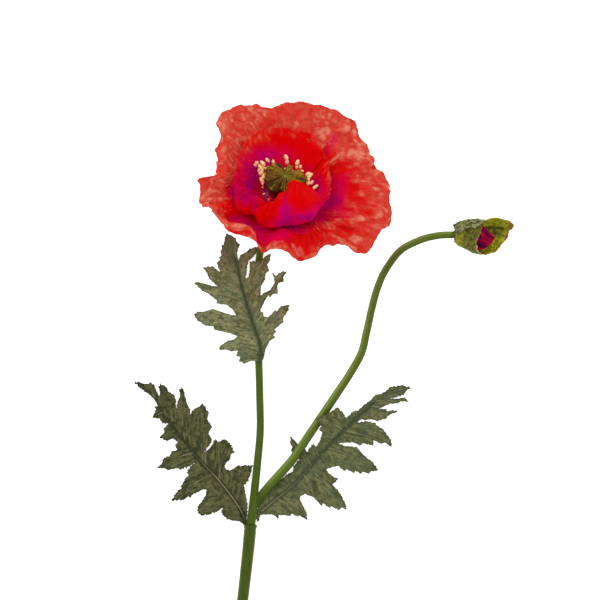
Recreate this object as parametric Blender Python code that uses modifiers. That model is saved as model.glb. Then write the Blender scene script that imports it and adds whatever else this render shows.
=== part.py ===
# A cut poppy lying on a table: one open double flower, one side bud on a curved
# stalk, three lobed leaves and the thick stem that carries them.
#
# Metres, +Z up, the table at z = 0.  +Y runs from the cut end of the stem to the
# flower.  The plan is set out on a drawing grid of 0.625 mm squares, x to the
# right and y down the sheet, and heights above the table are given in mm.

import math

import bmesh
import bpy
import numpy as np
from mathutils import Matrix, Vector

# ---------------------------------------------------------------- dimensions
GRID = 0.000625  # one square of the plan grid
MM = 0.001
PLAN_X0, PLAN_Y0 = 323.7, 420.4  # grid square over the origin
MID = 300.0  # middle of the drawn sheet
SIGHT = 2.0  # the plan is drawn as seen from this height, so raised points sit nearer MID

STEM_R, STALK_R, BUD_STALK_R = 3.55, 2.05, 2.0  # mm
PETAL_T, LEAF_T, SEPAL_T = 0.7, 0.8, 0.8  # mm, thickness of the solids
GAP = 0.3  # mm, between pieces that touch
REST_FROM, REST_AT = 3.5, 0.45  # mm, where the table begins to press a low petal flat, and where it stops it

FLOWER_AT = (283.0, 198.0, 31.5)  # where the petals leave the receptacle: grid, grid, mm
FLOWER_AXIS = Vector((0.17, 0.62, 0.766)).normalized()
BUD_AT = (453.5, 234.6, 11.9)
BUD_AXIS = Vector((1.0, -0.05, 0.0)).normalized()
DISC_SHIFT = -1.4  # mm, the capsule and its disc sit a little to the left of the axis


def plan(x, y, z=0.0):
    """World point of a grid square at a height in mm."""
    k = 1.0 - z * MM / SIGHT
    return Vector((
        ((x - MID) * k + MID - PLAN_X0) * GRID,
        ((MID - y) * k + PLAN_Y0 - MID) * GRID,
        z * MM,
    ))


# ------------------------------------------------------------ scene and finish
for old in list(bpy.data.objects):
    bpy.data.objects.remove(old, do_unlink=True)

parts = bpy.data.collections.new("poppy_flower")
cutters = bpy.data.collections.new("cutters")
for c in (parts, cutters):
    bpy.context.scene.collection.children.link(c)
cutters.hide_render = True


def finish(name, rgb, rough=0.6):
    m = bpy.data.materials.new(name)
    m.use_nodes = True
    b = m.node_tree.nodes["Principled BSDF"]
    b.inputs["Base Color"].default_value = (*rgb, 1.0)
    b.inputs["Roughness"].default_value = rough
    b.inputs["Metallic"].default_value = 0.0
    return m


PETAL = finish("petal_red", (0.78, 0.03, 0.02), 0.7)
PETAL_IN = finish("petal_crimson", (0.62, 0.0, 0.05), 0.7)
STEM = finish("stem_green", (0.13, 0.22, 0.03), 0.5)
LEAF = finish("leaf_green", (0.13, 0.15, 0.07), 0.75)
RIB = finish("rib_green", (0.08, 0.11, 0.03), 0.6)
DISC = finish("stigma_olive", (0.17, 0.16, 0.03), 0.85)
ANTHER = finish("anther_cream", (0.9, 0.62, 0.33), 0.6)
SEPAL = finish("sepal_green", (0.22, 0.24, 0.05), 0.8)


def adopt(obj, material, smooth=True):
    """Puts an object in the poppy's collection with its finish."""
    for c in list(obj.users_collection):
        c.objects.unlink(obj)
    parts.objects.link(obj)
    obj.data.materials.clear()
    obj.data.materials.append(material)
    if smooth and obj.type == "MESH":
        obj.data.shade_smooth()
    return obj


def as_mesh(obj, weld=0.00001):
    """A mesh object in place of a curve or of a mesh with modifiers, its seams closed."""
    bpy.context.view_layer.update()
    graph = bpy.context.evaluated_depsgraph_get()
    mesh = bpy.data.meshes.new_from_object(obj.evaluated_get(graph))
    bm = bmesh.new()
    bm.from_mesh(mesh)
    bmesh.ops.remove_doubles(bm, verts=bm.verts, dist=weld)
    bmesh.ops.recalc_face_normals(bm, faces=bm.faces)
    bm.to_mesh(mesh)
    bm.free()
    new = bpy.data.objects.new(obj.name, mesh)
    new.matrix_world = obj.matrix_world
    name = obj.name
    bpy.data.objects.remove(obj)
    new.name = name
    bpy.context.scene.collection.objects.link(new)
    return new


# ------------------------------------------------------------------ smooth lines
def through(points, count):
    """count points at even steps on a smooth line through points (rows of numbers)."""
    p = np.array(points, float)
    p = np.vstack([2 * p[0] - p[1], p, 2 * p[-1] - p[-2]])
    fine = []
    for i in range(1, len(p) - 2):
        for t in np.linspace(0, 1, 24, endpoint=False):
            a, b, c, d = p[i - 1], p[i], p[i + 1], p[i + 2]
            fine.append(0.5 * (2 * b + (c - a) * t + (2 * a - 5 * b + 4 * c - d) * t * t
                               + (3 * b - a - 3 * c + d) * t ** 3))
    fine.append(p[-2])
    fine = np.array(fine)
    step = np.linalg.norm(np.diff(fine[:, :3], axis=0), axis=1)
    along = np.concatenate([[0], np.cumsum(step)])
    at = np.linspace(0, along[-1], count)
    return np.stack([np.interp(at, along, fine[:, k]) for k in range(p.shape[1])], axis=1)


def tube(name, rows, count, material, sides=3):
    """A round stalk through rows of (grid x, grid y, height mm, radius mm)."""
    line = through(rows, count)
    top = max(r[3] for r in rows)
    data = bpy.data.curves.new(name, "CURVE")
    data.dimensions = "3D"
    data.fill_mode = "FULL"
    data.use_fill_caps = True
    data.bevel_depth = top * MM
    data.bevel_resolution = sides
    s = data.splines.new("POLY")
    s.points.add(len(line) - 1)
    for point, (x, y, z, r) in zip(s.points, line):
        point.co = (*plan(x, y, z), 1.0)
        point.radius = r / top
    obj = bpy.data.objects.new(name, data)
    bpy.context.scene.collection.objects.link(obj)
    return adopt(obj, material)


# ----------------------------------------------------------------- the stems
STEM_LINE = [(230.4, 740, 3.5, 3.35), (233.6, 700, 3.5, 3.4), (239, 640, 3.52, 3.45),
             (243.2, 600, 3.55, 3.5), (247.2, 560, 3.7, 3.65), (250.4, 524.3, 3.95, 3.85)]
STALK_LINE = [(251.0, 523.2, 4.3, 2.75), (252.3, 514, 4.3, 2.6), (254.7, 490, 4.2, 2.3), (257.8, 460, 3.8, 2.15),
              (260.3, 430, 3.4, 2.05), (259.8, 395, 3.2, 2.0), (258.9, 362, 3.2, 2.0), (257.4, 320, 3.3, 2.0),
              (257.3, 290, 3.4, 2.05), (258.6, 264, 3.8, 2.1), (262.6, 243, 6.4, 2.15),
              (270.5, 226, 12.2, 2.2), (277.0, 214.2, 19.0, 2.25), (280.65, 206.6, 24.85, 2.3)]
BUD_LINE = [(254.2, 505.5, 3.6, 2.4), (258.2, 498.6, 4.0, 2.45), (268.5, 486.4, 5.6, 2.5), (280.1, 473.2, 7.4, 2.5),
            (292.1, 459.4, 8.9, 2.45), (299.3, 448.9, 9.6, 2.4), (306.4, 438, 10.2, 2.4), (320.7, 416.6, 10.8, 2.35),
            (335, 395.2, 11.1, 2.3), (349.3, 373.8, 11.4, 2.2), (360.9, 353.2, 11.6, 2.15), (367.1, 331.8, 11.7, 2.1),
            (372, 309.5, 11.8, 2.05), (377.9, 288, 11.9, 2.0), (387.1, 267.5, 11.9, 2.0), (401.1, 249.3, 11.9, 2.0),
            (420.7, 238.9, 11.9, 1.98), (438.6, 234.9, 11.9, 1.95), (451.0, 234.8, 11.9, 1.95)]

main_stem = tube("main_stem", STEM_LINE, 14, STEM)
flower_stalk = tube("flower_stalk", STALK_LINE, 34, STEM)
bud_stalk = tube("bud_stalk", BUD_LINE, 34, STEM)

# The side stalk nests against the flower's stalk and the end of the stem.
stalk_space = tube("stalk_space", [(x, y, z, r + GAP) for x, y, z, r in STALK_LINE[:6]], 14, STEM)
stem_space = tube("stem_space", [(x, y, z, r + GAP) for x, y, z, r in STEM_LINE[-2:]]
                  + [(251.0, 523.0, 4.0, STEM_LINE[-1][3] + GAP)], 6, STEM)
bud_stalk = as_mesh(bud_stalk)
for space in (stalk_space, stem_space):
    space = as_mesh(space)
    scene_links = list(space.users_collection)
    for c in scene_links:
        c.objects.unlink(space)
    cutters.objects.link(space)
    space.hide_render = True
    space.display_type = "WIRE"
    cut = bud_stalk.modifiers.new("nest_" + space.name, "BOOLEAN")
    cut.operation = "DIFFERENCE"
    cut.object = space
adopt(bud_stalk, STEM)


# ------------------------------------------------------------------- the leaves
# Each blade is drawn on a sheet of its own: origin and squares of the plan grid
# per sheet unit, the outline from the base round to the base, the midrib with its
# heights in mm, and the swells (x, y, reach, rise in mm) where a lobe lifts or dips.
LEFT = dict(
    origin=(130.0, 375.0), unit=1 / 10.116,
    outline=[(1166, 1490), (1125, 1478), (1020, 1466), (985, 1456), (935, 1410), (930, 1370), (950, 1330),
             (880, 1380), (795, 1410), (720, 1420), (680, 1370), (690, 1330), (740, 1260), (770, 1215), (778, 1160),
             (740, 1155), (690, 1180), (640, 1200), (605, 1240), (590, 1225), (540, 1260), (480, 1265), (420, 1270),
             (450, 1220), (488, 1167), (525, 1150), (518, 1125), (560, 1050), (600, 1010), (580, 985), (610, 930),
             (655, 890), (600, 920), (510, 955), (480, 940), (385, 960), (360, 945), (275, 938), (320, 900),
             (345, 838), (400, 825), (425, 775), (480, 760), (460, 710), (490, 680), (435, 640), (370, 665),
             (300, 632), (350, 580), (340, 545), (395, 490), (330, 485), (300, 440), (228, 430), (265, 350),
             (250, 325), (285, 310), (250, 250), (190, 190), (120, 142), (88, 115), (42, 64), (95, 76), (140, 90),
             (190, 90), (210, 75), (245, 110), (270, 170), (300, 225), (305, 170), (290, 115), (310, 90),
             (350, 110), (390, 170), (440, 200), (462, 250), (460, 300), (472, 340), (485, 270), (510, 210),
             (500, 160), (520, 120), (545, 165), (555, 220), (580, 300), (605, 350), (608, 420), (630, 365),
             (665, 342), (700, 320), (735, 290), (795, 380), (780, 450), (828, 525), (790, 590), (825, 650),
             (800, 710), (742, 785), (790, 760), (840, 700), (860, 650), (890, 680), (960, 650), (1010, 690),
             (1055, 780), (1015, 810), (1010, 850), (970, 890), (955, 930), (975, 960), (1010, 970), (1050, 950),
             (1090, 920), (1160, 915), (1240, 916), (1230, 951), (1214, 1012), (1193, 1072),
             (1151, 1111), (1158, 1160), (1170, 1227), (1186, 1305), (1184, 1416), (1178, 1480)],
    midrib=[(1166, 1490, 4.4), (1120, 1350, 7.0), (1080, 1290, 8.2), (960, 1140, 10.5), (850, 1010, 11.5),
            (760, 920, 11.5), (660, 810, 11.0), (560, 670, 9.6), (450, 560, 8.0), (370, 440, 6.4), (290, 310, 4.6),
            (180, 170, 2.6), (64, 80, 0.9)],
    fold=0.16, droop=0.0062,
    swells=[(1190, 980, 120, -2.2), (470, 1230, 150, -3.0), (730, 1360, 130, -2.0), (740, 380, 150, 2.5),
            (330, 930, 120, -2.2), (990, 720, 110, 1.6), (520, 150, 90, 2.0)],
)
RIGHT = dict(
    origin=(250.0, 380.0), unit=1 / 9.503,
    outline=[(62, 1246), (60, 1302), (67, 1352), (86, 1326), (99, 1280), (200, 1275), (240, 1290), (262, 1318), (275, 1280), (380, 1290), (400, 1270), (450, 1295),
             (470, 1285), (545, 1330), (535, 1260), (500, 1190), (470, 1130), (480, 1100), (520, 1080), (600, 1110),
             (640, 1150), (682, 1200), (690, 1165), (755, 1215), (770, 1195), (845, 1235), (870, 1210), (920, 1230),
             (905, 1180), (870, 1105), (835, 1050), (800, 1015), (780, 990), (840, 940), (790, 920), (740, 880),
             (722, 848), (780, 825), (840, 815), (895, 862), (920, 845), (985, 882), (1000, 860), (1055, 890),
             (1070, 870), (1130, 888), (1150, 865), (1218, 858), (1165, 780), (1120, 750), (1065, 700), (1015, 640),
             (960, 635), (900, 630), (832, 600), (900, 595), (980, 590), (1040, 618), (1080, 600), (1170, 622),
             (1172, 570), (1250, 605), (1280, 590), (1345, 638), (1340, 570), (1300, 520), (1265, 470),
             (1200, 430), (1190, 410), (1110, 395), (1060, 400), (1010, 408), (1050, 375), (1090, 378), (1150, 370),
             (1210, 388), (1290, 365), (1310, 340), (1350, 318), (1405, 298), (1350, 290), (1310, 300), (1290, 280),
             (1215, 275), (1280, 245), (1330, 225), (1400, 220), (1430, 200), (1508, 205), (1465, 170), (1400, 180),
             (1310, 178), (1390, 160), (1460, 135), (1475, 100), (1480, 75), (1528, 70), (1450, 58), (1330, 68),
             (1290, 110), (1240, 135), (1195, 140), (1150, 190), (1080, 240), (1030, 290), (980, 300), (940, 340),
             (915, 365), (880, 310), (830, 262), (790, 290), (720, 330), (640, 362), (650, 400), (685, 440),
             (660, 465), (690, 500), (670, 570), (630, 640), (600, 612), (565, 650), (545, 690), (520, 660),
             (455, 610), (385, 538), (385, 600), (405, 640), (392, 670), (440, 730), (470, 760), (455, 770),
             (415, 820), (410, 870), (350, 900), (280, 960), (225, 1040), (190, 1100), (150, 1170), (112, 1225)],
    midrib=[(104, 1250, 2.0), (250, 1130, 2.2), (400, 1010, 3.4), (520, 880, 4.9), (640, 740, 6.9), (760, 610, 9.4),
            (880, 490, 11.6), (1010, 360, 12.4), (1100, 290, 11.6), (1200, 200, 9.8), (1330, 120, 7.0),
            (1510, 76, 2.6)],
    fold=0.03, droop=0.0035,
    swells=[(700, 370, 130, 11.5), (420, 620, 100, -1.0), (520, 1290, 140, 1.5), (900, 1210, 150, -1.0),
            (1200, 850, 150, -4.0), (1330, 610, 130, -5.0), (1400, 300, 90, -3.0), (1490, 200, 90, -3.2)],
)
UPPER = dict(
    origin=(185.0, 225.0), unit=1 / 10.81,
    outline=[(795, 1475), (720, 1465), (640, 1495), (585, 1470), (600, 1425), (555, 1415), (580, 1350), (505, 1362),
             (440, 1345), (372, 1348), (380, 1310), (460, 1255), (530, 1240), (575, 1200), (480, 1165), (320, 1130),
             (310, 1095), (225, 1085), (140, 1035), (97, 970), (130, 940), (200, 940), (300, 910), (420, 950),
             (500, 975), (560, 980), (520, 915), (450, 860), (345, 845), (345, 810), (250, 740), (190, 710),
             (100, 628), (135, 618), (200, 635), (290, 660), (350, 665), (400, 690), (330, 640), (262, 577),
             (240, 520), (198, 462), (250, 450), (300, 450), (350, 490), (390, 520), (345, 410), (385, 375),
             (368, 350), (400, 330), (385, 290), (405, 250), (395, 225), (420, 210), (435, 130), (452, 92),
             (500, 115), (545, 145), (555, 175), (590, 215), (570, 260), (560, 310), (578, 395), (600, 330),
             (660, 295), (700, 260), (790, 235), (785, 280), (740, 340), (690, 385), (670, 440), (662, 520),
             (650, 590), (690, 560), (703, 480), (700, 400), (740, 390), (770, 410), (820, 380), (870, 340),
             (925, 308), (915, 385), (885, 430), (905, 490), (870, 520), (860, 590), (820, 660), (798, 790),
             (850, 740), (920, 705), (955, 655), (972, 625), (965, 570), (945, 515), (980, 555), (1020, 520),
             (1060, 505), (1100, 505), (1060, 560), (1065, 610), (1010, 625), (998, 655), (1000, 740), (950, 745),
             (920, 780), (900, 755), (860, 820), (830, 880), (800, 935), (840, 945), (850, 990), (900, 1000),
             (975, 925), (990, 940), (1040, 880), (1130, 865), (1115, 920), (1085, 965), (1060, 1000), (1060, 1050),
             (1020, 1080), (965, 1130), (985, 1150), (950, 1190), (970, 1215), (915, 1250), (870, 1340),
             (848, 1440), (826, 1475)],
    midrib=[(808, 1475, 6.9), (822, 1370, 8.4), (800, 1250, 9.6), (745, 1100, 10.8), (690, 930, 11.4),
            (640, 760, 11.6), (600, 620, 11.8), (576, 500, 11.8), (545, 390, 11.6), (500, 270, 11.2), (455, 100, 10.0)],
    fold=0.10, droop=0.0052,
    swells=[(120, 960, 150, -2.6), (420, 1340, 150, -3.4), (1090, 880, 150, -4.2), (1080, 510, 120, -2.0),
            (130, 620, 120, 1.5), (200, 460, 100, 1.2)],
)


def leaf_heights(leaf, xy):
    """Height in mm of the blade's middle surface at plan grid points."""
    xy = np.asarray(xy, float)
    ox, oy = leaf["origin"]
    u = leaf["unit"]
    rib = through([(ox + x * u, oy + y * u, z) for x, y, z in leaf["midrib"]], 60)
    d2 = ((xy[:, None, :] - rib[None, :, :2]) ** 2).sum(2)
    w = 1.0 / (d2 + 0.6) ** 2
    z = (w * rib[None, :, 2]).sum(1) / w.sum(1)
    d = np.sqrt(d2.min(1))
    z = z + leaf["fold"] * d * np.exp(-d / 22.0) - leaf["droop"] * d * d * np.exp(-d / 60.0)
    for x, y, reach, rise in leaf["swells"]:
        x, y, reach = ox + x * u, oy + y * u, reach * u
        z = z + rise * np.exp(-((xy[:, 0] - x) ** 2 + (xy[:, 1] - y) ** 2) / (reach * reach))
    return np.maximum(z, 0.5 + 0.18 * np.maximum(z, 0.0))


def blade(name, leaf):
    """The drawn outline filled, cut across so that it can bend, bent and thickened."""
    ox, oy = leaf["origin"]
    u = leaf["unit"]
    data = bpy.data.curves.new(name + "_outline", "CURVE")
    data.dimensions = "2D"
    data.fill_mode = "BOTH"
    s = data.splines.new("POLY")
    s.points.add(len(leaf["outline"]) - 1)
    for point, (x, y) in zip(s.points, leaf["outline"]):
        point.co = (ox + x * u, -(oy + y * u), 0.0, 1.0)
    s.use_cyclic_u = True
    flat = bpy.data.objects.new(name, data)
    bpy.context.scene.collection.objects.link(flat)
    obj = as_mesh(flat, weld=0.01)
    bm = bmesh.new()
    bm.from_mesh(obj.data)
    bmesh.ops.dissolve_limit(bm, angle_limit=0.01, verts=bm.verts[:], edges=bm.edges[:])
    (x0, y0, _), (x1, y1, _) = leaf["midrib"][0], leaf["midrib"][-1]
    along = Vector((x1 - x0, -(y1 - y0), 0.0)).normalized()
    across = Vector((-along.y, along.x, 0.0))
    for way, step in ((along, 13.0), (across, 11.0)):
        reach = [way.dot(v.co) for v in bm.verts]
        at = min(reach) + step * 0.6
        while at < max(reach):
            bmesh.ops.bisect_plane(bm, geom=bm.verts[:] + bm.edges[:] + bm.faces[:], dist=0.0001,
                                   plane_co=way * at, plane_no=way)
            at += step
    bmesh.ops.triangulate(bm, faces=bm.faces[:])
    bm.normal_update()
    points = np.array([(v.co.x, -v.co.y) for v in bm.verts])
    for v, (x, y), z in zip(bm.verts, points, leaf_heights(leaf, points)):
        v.co = plan(x, y, float(z))
    bmesh.ops.recalc_face_normals(bm, faces=bm.faces[:])
    bm.to_mesh(obj.data)
    bm.free()
    thick = obj.modifiers.new("thickness", "SOLIDIFY")
    thick.thickness = LEAF_T * MM
    thick.offset = 0.0
    return adopt(obj, LEAF)


def midrib(name, leaf, r0, r1, upto, start=None):
    """The raised rib on the face of a blade, from its foot on the stem outwards."""
    ox, oy = leaf["origin"]
    u = leaf["unit"]
    line = through([(ox + x * u, oy + y * u, z) for x, y, z in leaf["midrib"]], 40)
    line = line[: int(40 * upto)]
    surface = leaf_heights(leaf, line[:, :2])
    rows = []
    for i, (x, y, _) in enumerate(line):
        r = r0 + (r1 - r0) * i / (len(line) - 1)
        rows.append((x, y, surface[i] + LEAF_T / 2 + 0.6 + r, r))
    if start:
        rows = list(start) + rows[2:]
    return tube(name, rows, 16, RIB, sides=1)


blade("leaf_left_blade", LEFT)
blade("leaf_right_blade", RIGHT)
blade("leaf_upper_blade", UPPER)
midrib("leaf_left_midrib", LEFT, 0.75, 0.3, 0.8)
midrib("leaf_right_midrib", RIGHT, 0.7, 0.3, 0.82, start=[(258.4, 516.4, 3.3, 0.7), (261.6, 510.2, 3.6, 0.7)])
midrib("leaf_upper_midrib", UPPER, 0.95, 0.35, 0.8)

# ------------------------------------------------------------- the flower's frame
F_UP = FLOWER_AXIS
F_E1 = (Vector((1, 0, 0)) - F_UP * F_UP.x).normalized()
F_E2 = F_UP.cross(F_E1)
F_ORG = plan(*FLOWER_AT)


def in_flower(turn, rho, h):
    """World points from angle round the flower, distance from its axis and height along it, in mm."""
    turn, rho, h = (np.asarray(v, float) for v in (turn, rho, h))
    return (np.array(F_ORG) + (rho * np.cos(turn) * MM)[..., None] * np.array(F_E1)
            + (rho * np.sin(turn) * MM)[..., None] * np.array(F_E2) + (h * MM)[..., None] * np.array(F_UP))


def rim_of(rows):
    """Rows of (grid x, grid y, height along the axis, ...) as (angle, radius, height, ...), in order of angle."""
    out = []
    for x, y, h, *more in rows:
        z = FLOWER_AT[2]
        for _ in range(6):
            d = (plan(x, y, z) - F_ORG) / MM - F_UP * h
            a = d.x / F_E1.x
            b = (d.y - a * F_E1.y) / F_E2.y
            z = FLOWER_AT[2] + a * F_E1.z + b * F_E2.z + h * F_UP.z
        out.append((math.atan2(b, a) % (2 * math.pi), math.hypot(a, b), h, *more))
    return np.array(sorted(out))


def round_the_rim(rows, turn, spread=0.0):
    """The rim's numbers at angles, averaged over spread radians either way."""
    turn = np.asarray(turn, float)
    total = 0.0
    shifts = np.linspace(-spread, spread, 9) if spread else [0.0]
    t = np.concatenate([rows[:, 0] - 2 * math.pi, rows[:, 0], rows[:, 0] + 2 * math.pi])
    for shift in shifts:
        at = (turn + shift) % (2 * math.pi)
        total = total + np.stack([np.interp(at, t, np.tile(rows[:, k], 3)) for k in range(1, rows.shape[1])], -1)
    return total / len(shifts)


# The rim of the outer petals: grid x, grid y, height along the axis, the slope at
# which the petal reaches its rim in degrees and how long it keeps that slope in mm.
OUTER_RIM = rim_of([
    (386, 173.5, 17, -4, 20), (379, 167.5, 18, -4, 20), (372, 153.5, 16, -4, 20), (369, 145.5, 18, -4, 20), (360.5, 134.5, 17, -8, 20),
    (355.5, 121, 13, -15, 18), (342, 113.5, 16, -10, 18), (334, 108.6, 18, -10, 18), (320, 105, 15, -10, 18),
    (297, 100.6, 13, -15, 18), (284, 103.4, 16, -10, 18), (277, 106.2, 17, -8, 18), (271, 107.6, 17, -5, 18), (266, 106, 14, -10, 18),
    (259, 103.8, 13, -15, 18), (248, 103.6, 16, -10, 18), (238, 104.6, 17, -10, 18), (228, 109, 15, -15, 18),
    (221, 114.5, 16, -10, 18), (215.4, 124, 14, -10, 18), (220.6, 131.5, 19, 2, 16), (221, 139, 20, 2, 16),
    (214.4, 152, 17, -5, 16), (217.8, 159.2, 18, 0, 16), (215.2, 168, 18, -4, 16), (214.8, 176.8, 21, 0, 16), (205.5, 177.2, 22, -12, 16),
    (196.8, 180.2, 22, -20, 16), (200.4, 184, 20, -20, 16), (200, 195, 18, -20, 16), (200, 202, 18, -14, 16), (202.5, 206.5, 20, 0, 16),
    (208.5, 206.6, 26, 30, 16), (217, 212, 32, 70, 18), (227, 217, 36, 100, 20), (240, 223, 38, 110, 20),
    (250, 226, 38, 108, 20), (257, 234, 34, 95, 18), (265, 250, 25, 50, 18), (271, 248.6, 21, 20, 20), (276, 249.6, 19, 0, 20),
    (281, 248.8, 18, -10, 20), (287.5, 250, 18, -15, 20), (294, 255.6, 16, -20, 20), (297, 260.6, 15, -25, 20), (303, 260.2, 15, -25, 20),
    (311, 258.6, 15, -25, 20), (316.6, 255, 17, -18, 20), (318.4, 249.6, 19, -12, 20), (325, 245.8, 20, -5, 20), (338, 244.4, 19, 0, 20),
    (346, 244.6, 17, 0, 20), (356, 252.4, 13, -15, 20), (365, 253.2, 12, -20, 20), (372.8, 246, 15, -15, 20), (381.6, 230, 17, -10, 20),
    (390.6, 223.6, 14, -15, 20), (392.4, 211, 16, -10, 20), (390.2, 199.5, 18, -5, 20), (391.6, 191, 17, -8, 20), (390.8, 183.5, 16, -10, 20),
])
INNER_RIM = rim_of([
    (329, 200, 25, 56, 15), (330, 186, 24, 52, 15), (329, 170, 23, 50, 15), (325, 152, 23, 46, 14),
    (315, 135, 23, 42, 14), (292, 129, 23, 42, 14), (268, 128, 23, 42, 14), (250, 133, 23, 42, 14),
    (242, 148, 24, 44, 15), (236, 168, 25.5, 53, 16), (234, 186, 27, 61, 18), (236, 202, 29.5, 75, 20),
    (246, 204, 33, 92, 22), (255, 202, 36, 105, 23), (266, 197, 38, 118, 25), (278, 192, 41, 135, 27),
    (285, 187, 43, 146, 28), (293, 180.5, 45, 152, 28), (302, 182, 44, 148, 28), (313, 189, 40, 126, 24),
    (323, 195, 32, 90, 19),
])


def corolla(rows, turn, v, foot, rise, run):
    """Points of a ring of petals: v runs from the foot (radius, height) to the rim, leaving at a slope of rise degrees."""
    turn, v = np.broadcast_arrays(np.asarray(turn, float), np.asarray(v, float))
    rho, h, slope, keep = np.moveaxis(round_the_rim(rows, turn, 0.11), -1, 0)
    edge = round_the_rim(rows, turn)
    slope = np.radians(slope)
    up = np.radians(rise)
    r0, h0 = foot
    r1, h1 = r0 + run * np.cos(up), h0 + run * np.sin(up)
    r2, h2 = rho - keep * np.cos(slope), h - keep * np.sin(slope)
    w = 1.0 - v
    r = w ** 3 * r0 + 3 * w * w * v * r1 + 3 * w * v * v * r2 + v ** 3 * rho
    z = w ** 3 * h0 + 3 * w * w * v * h1 + 3 * w * v * v * h2 + v ** 3 * h
    pull = np.clip(v, 0, 1.2) ** 5
    at = in_flower(turn, r + (edge[..., 0] - rho) * pull, z + (edge[..., 1] - h) * pull)
    low = np.minimum(at[..., 2] / MM, REST_FROM)
    pressed = REST_AT + (REST_FROM - REST_AT) * np.exp((low - REST_FROM) / (REST_FROM - REST_AT))
    at[..., 2] = np.where(at[..., 2] / MM < REST_FROM, pressed * MM, at[..., 2])
    return at


def outer_skin(turn, v):
    away = np.abs((np.asarray(turn, float) - math.radians(252) + math.pi) % (2 * math.pi) - math.pi)
    return corolla(OUTER_RIM, turn, v, (5.5, 0.0), 22.0 - 7.0 * np.exp(-(away / 0.6) ** 2), 20.0)


def inner_skin(turn, v):
    away = np.abs((np.asarray(turn, float) - math.radians(266) + math.pi) % (2 * math.pi) - math.pi)
    front = np.exp(-(away / 0.75) ** 2)
    return corolla(INNER_RIM, turn, v, (3.6, 2.6), 26.0 - 10.0 * front, 17.0 + 10.0 * front)


def petal(name, skin, mid, half, shift, material, across=16, along=9):
    """One petal: a grid laid on the ring of petals and lifted on one side, so that each overlaps the next."""
    bpy.ops.mesh.primitive_grid_add(x_subdivisions=across, y_subdivisions=along, size=2)
    obj = bpy.context.object
    obj.name = name
    s, v = (np.array([p.co[k] for p in obj.data.vertices]) for k in (0, 1))
    v = (v + 1) / 2
    widen = 0.90 + 0.10 * np.clip(v * 1.6, 0, 1)
    turn = math.radians(mid) + s * math.radians(half) * widen
    v = v * (1.0 - 0.13 * np.abs(s) ** 5)
    e = 0.004
    base = skin(turn, v)
    side = skin(turn + e, v) - skin(turn - e, v)
    out = skin(turn, v + e) - skin(turn, v - e)
    normal = np.cross(side, out)
    normal /= np.linalg.norm(normal, axis=1)[:, None]
    lift = shift * (turn - math.radians(mid)) / math.radians(45.0)
    base = base - normal * (lift * MM)[:, None]
    for point, co in zip(obj.data.vertices, base):
        point.co = co
    thick = obj.modifiers.new("thickness", "SOLIDIFY")
    thick.thickness = PETAL_T * MM
    thick.offset = 0.0
    return adopt(obj, material)


for name, mid, half in (("outer_petal_top_right", 61, 47), ("outer_petal_top_left", 141.5, 53),
                        ("outer_petal_left", 221, 46), ("outer_petal_front", 283, 29), ("outer_petal_right", 340, 52)):
    petal(name, outer_skin, mid, half, 1.3, PETAL)
for name, mid, half, shift in (("inner_petal_back", 88, 50, 1.4), ("inner_petal_left", 166, 47, 1.4),
                               ("inner_petal_front_left", 226, 30, 2.4), ("inner_petal_front", 279, 43, 1.7),
                               ("inner_petal_right", 2, 52, 1.5)):
    petal(name, inner_skin, mid, half, shift, PETAL_IN, across=12, along=9)


# -------------------------------------------------- receptacle, capsule and disc
def along_flower(aside=0.0):
    """Matrix of a piece turned about the flower's axis, or about a line aside mm to its right."""
    m = Matrix((F_E1, F_E2, F_UP)).transposed().to_4x4()
    m.translation = F_ORG + F_E1 * (aside * MM)
    return m


def turned(name, profile, steps, matrix, material):
    """A profile of (radius, height) in mm, top to bottom, turned about its axis."""
    data = bpy.data.meshes.new(name)
    bm = bmesh.new()
    points = [bm.verts.new((r * MM, 0.0, z * MM)) for r, z in profile]
    for a, b in zip(points, points[1:]):
        bm.edges.new((a, b))
    bm.to_mesh(data)
    bm.free()
    obj = bpy.data.objects.new(name, data)
    obj.matrix_world = matrix
    screw = obj.modifiers.new("turn", "SCREW")
    screw.steps = screw.render_steps = steps
    screw.use_merge_vertices = True
    screw.merge_threshold = 0.00001
    screw.use_smooth_shade = True
    bpy.context.scene.collection.objects.link(obj)
    return adopt(obj, material)


turned("receptacle", [(0, -2.6), (5.4, -2.7), (6.2, -3.4), (5.9, -4.6), (4.4, -6.2), (3.1, -8.2), (0, -8.3)],
       20, along_flower(), STEM)
capsule = turned("seed_capsule", [(0, 20.4), (4.5, 20.2), (6.6, 18.4), (6.9, 14.5), (5.8, 10.0), (3.8, 6.9), (2.4, 5.2),
                                  (2.0, 0.2), (0, 0.1)], 36, along_flower(DISC_SHIFT / 2), DISC)
disc = turned("stigma_disc", [(0, 24.4), (3.0, 24.1), (7.0, 23.2), (10.4, 21.9), (12.6, 20.0), (12.9, 19.0), (12.2, 18.7),
                              (10.0, 20.4), (6.4, 21.6), (0, 22.1)], 54, along_flower(DISC_SHIFT), DISC)
LOBES = 9
capsule = adopt(as_mesh(capsule), DISC)
for p in capsule.data.vertices:
    r = math.hypot(p.co.x, p.co.y)
    k = 1 + 0.05 * math.cos(LOBES * math.atan2(p.co.y, p.co.x)) * min(1.0, r / (5 * MM))
    p.co.x, p.co.y = p.co.x * k, p.co.y * k
disc = adopt(as_mesh(disc), DISC)
for p in disc.data.vertices:
    r = math.hypot(p.co.x, p.co.y) / (12.9 * MM)
    wave = abs(math.cos(LOBES * math.atan2(p.co.y, p.co.x) / 2)) ** 0.6
    k = 1 - 0.2 * (1 - wave) * r * r
    p.co.x, p.co.y = p.co.x * k, p.co.y * k

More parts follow.
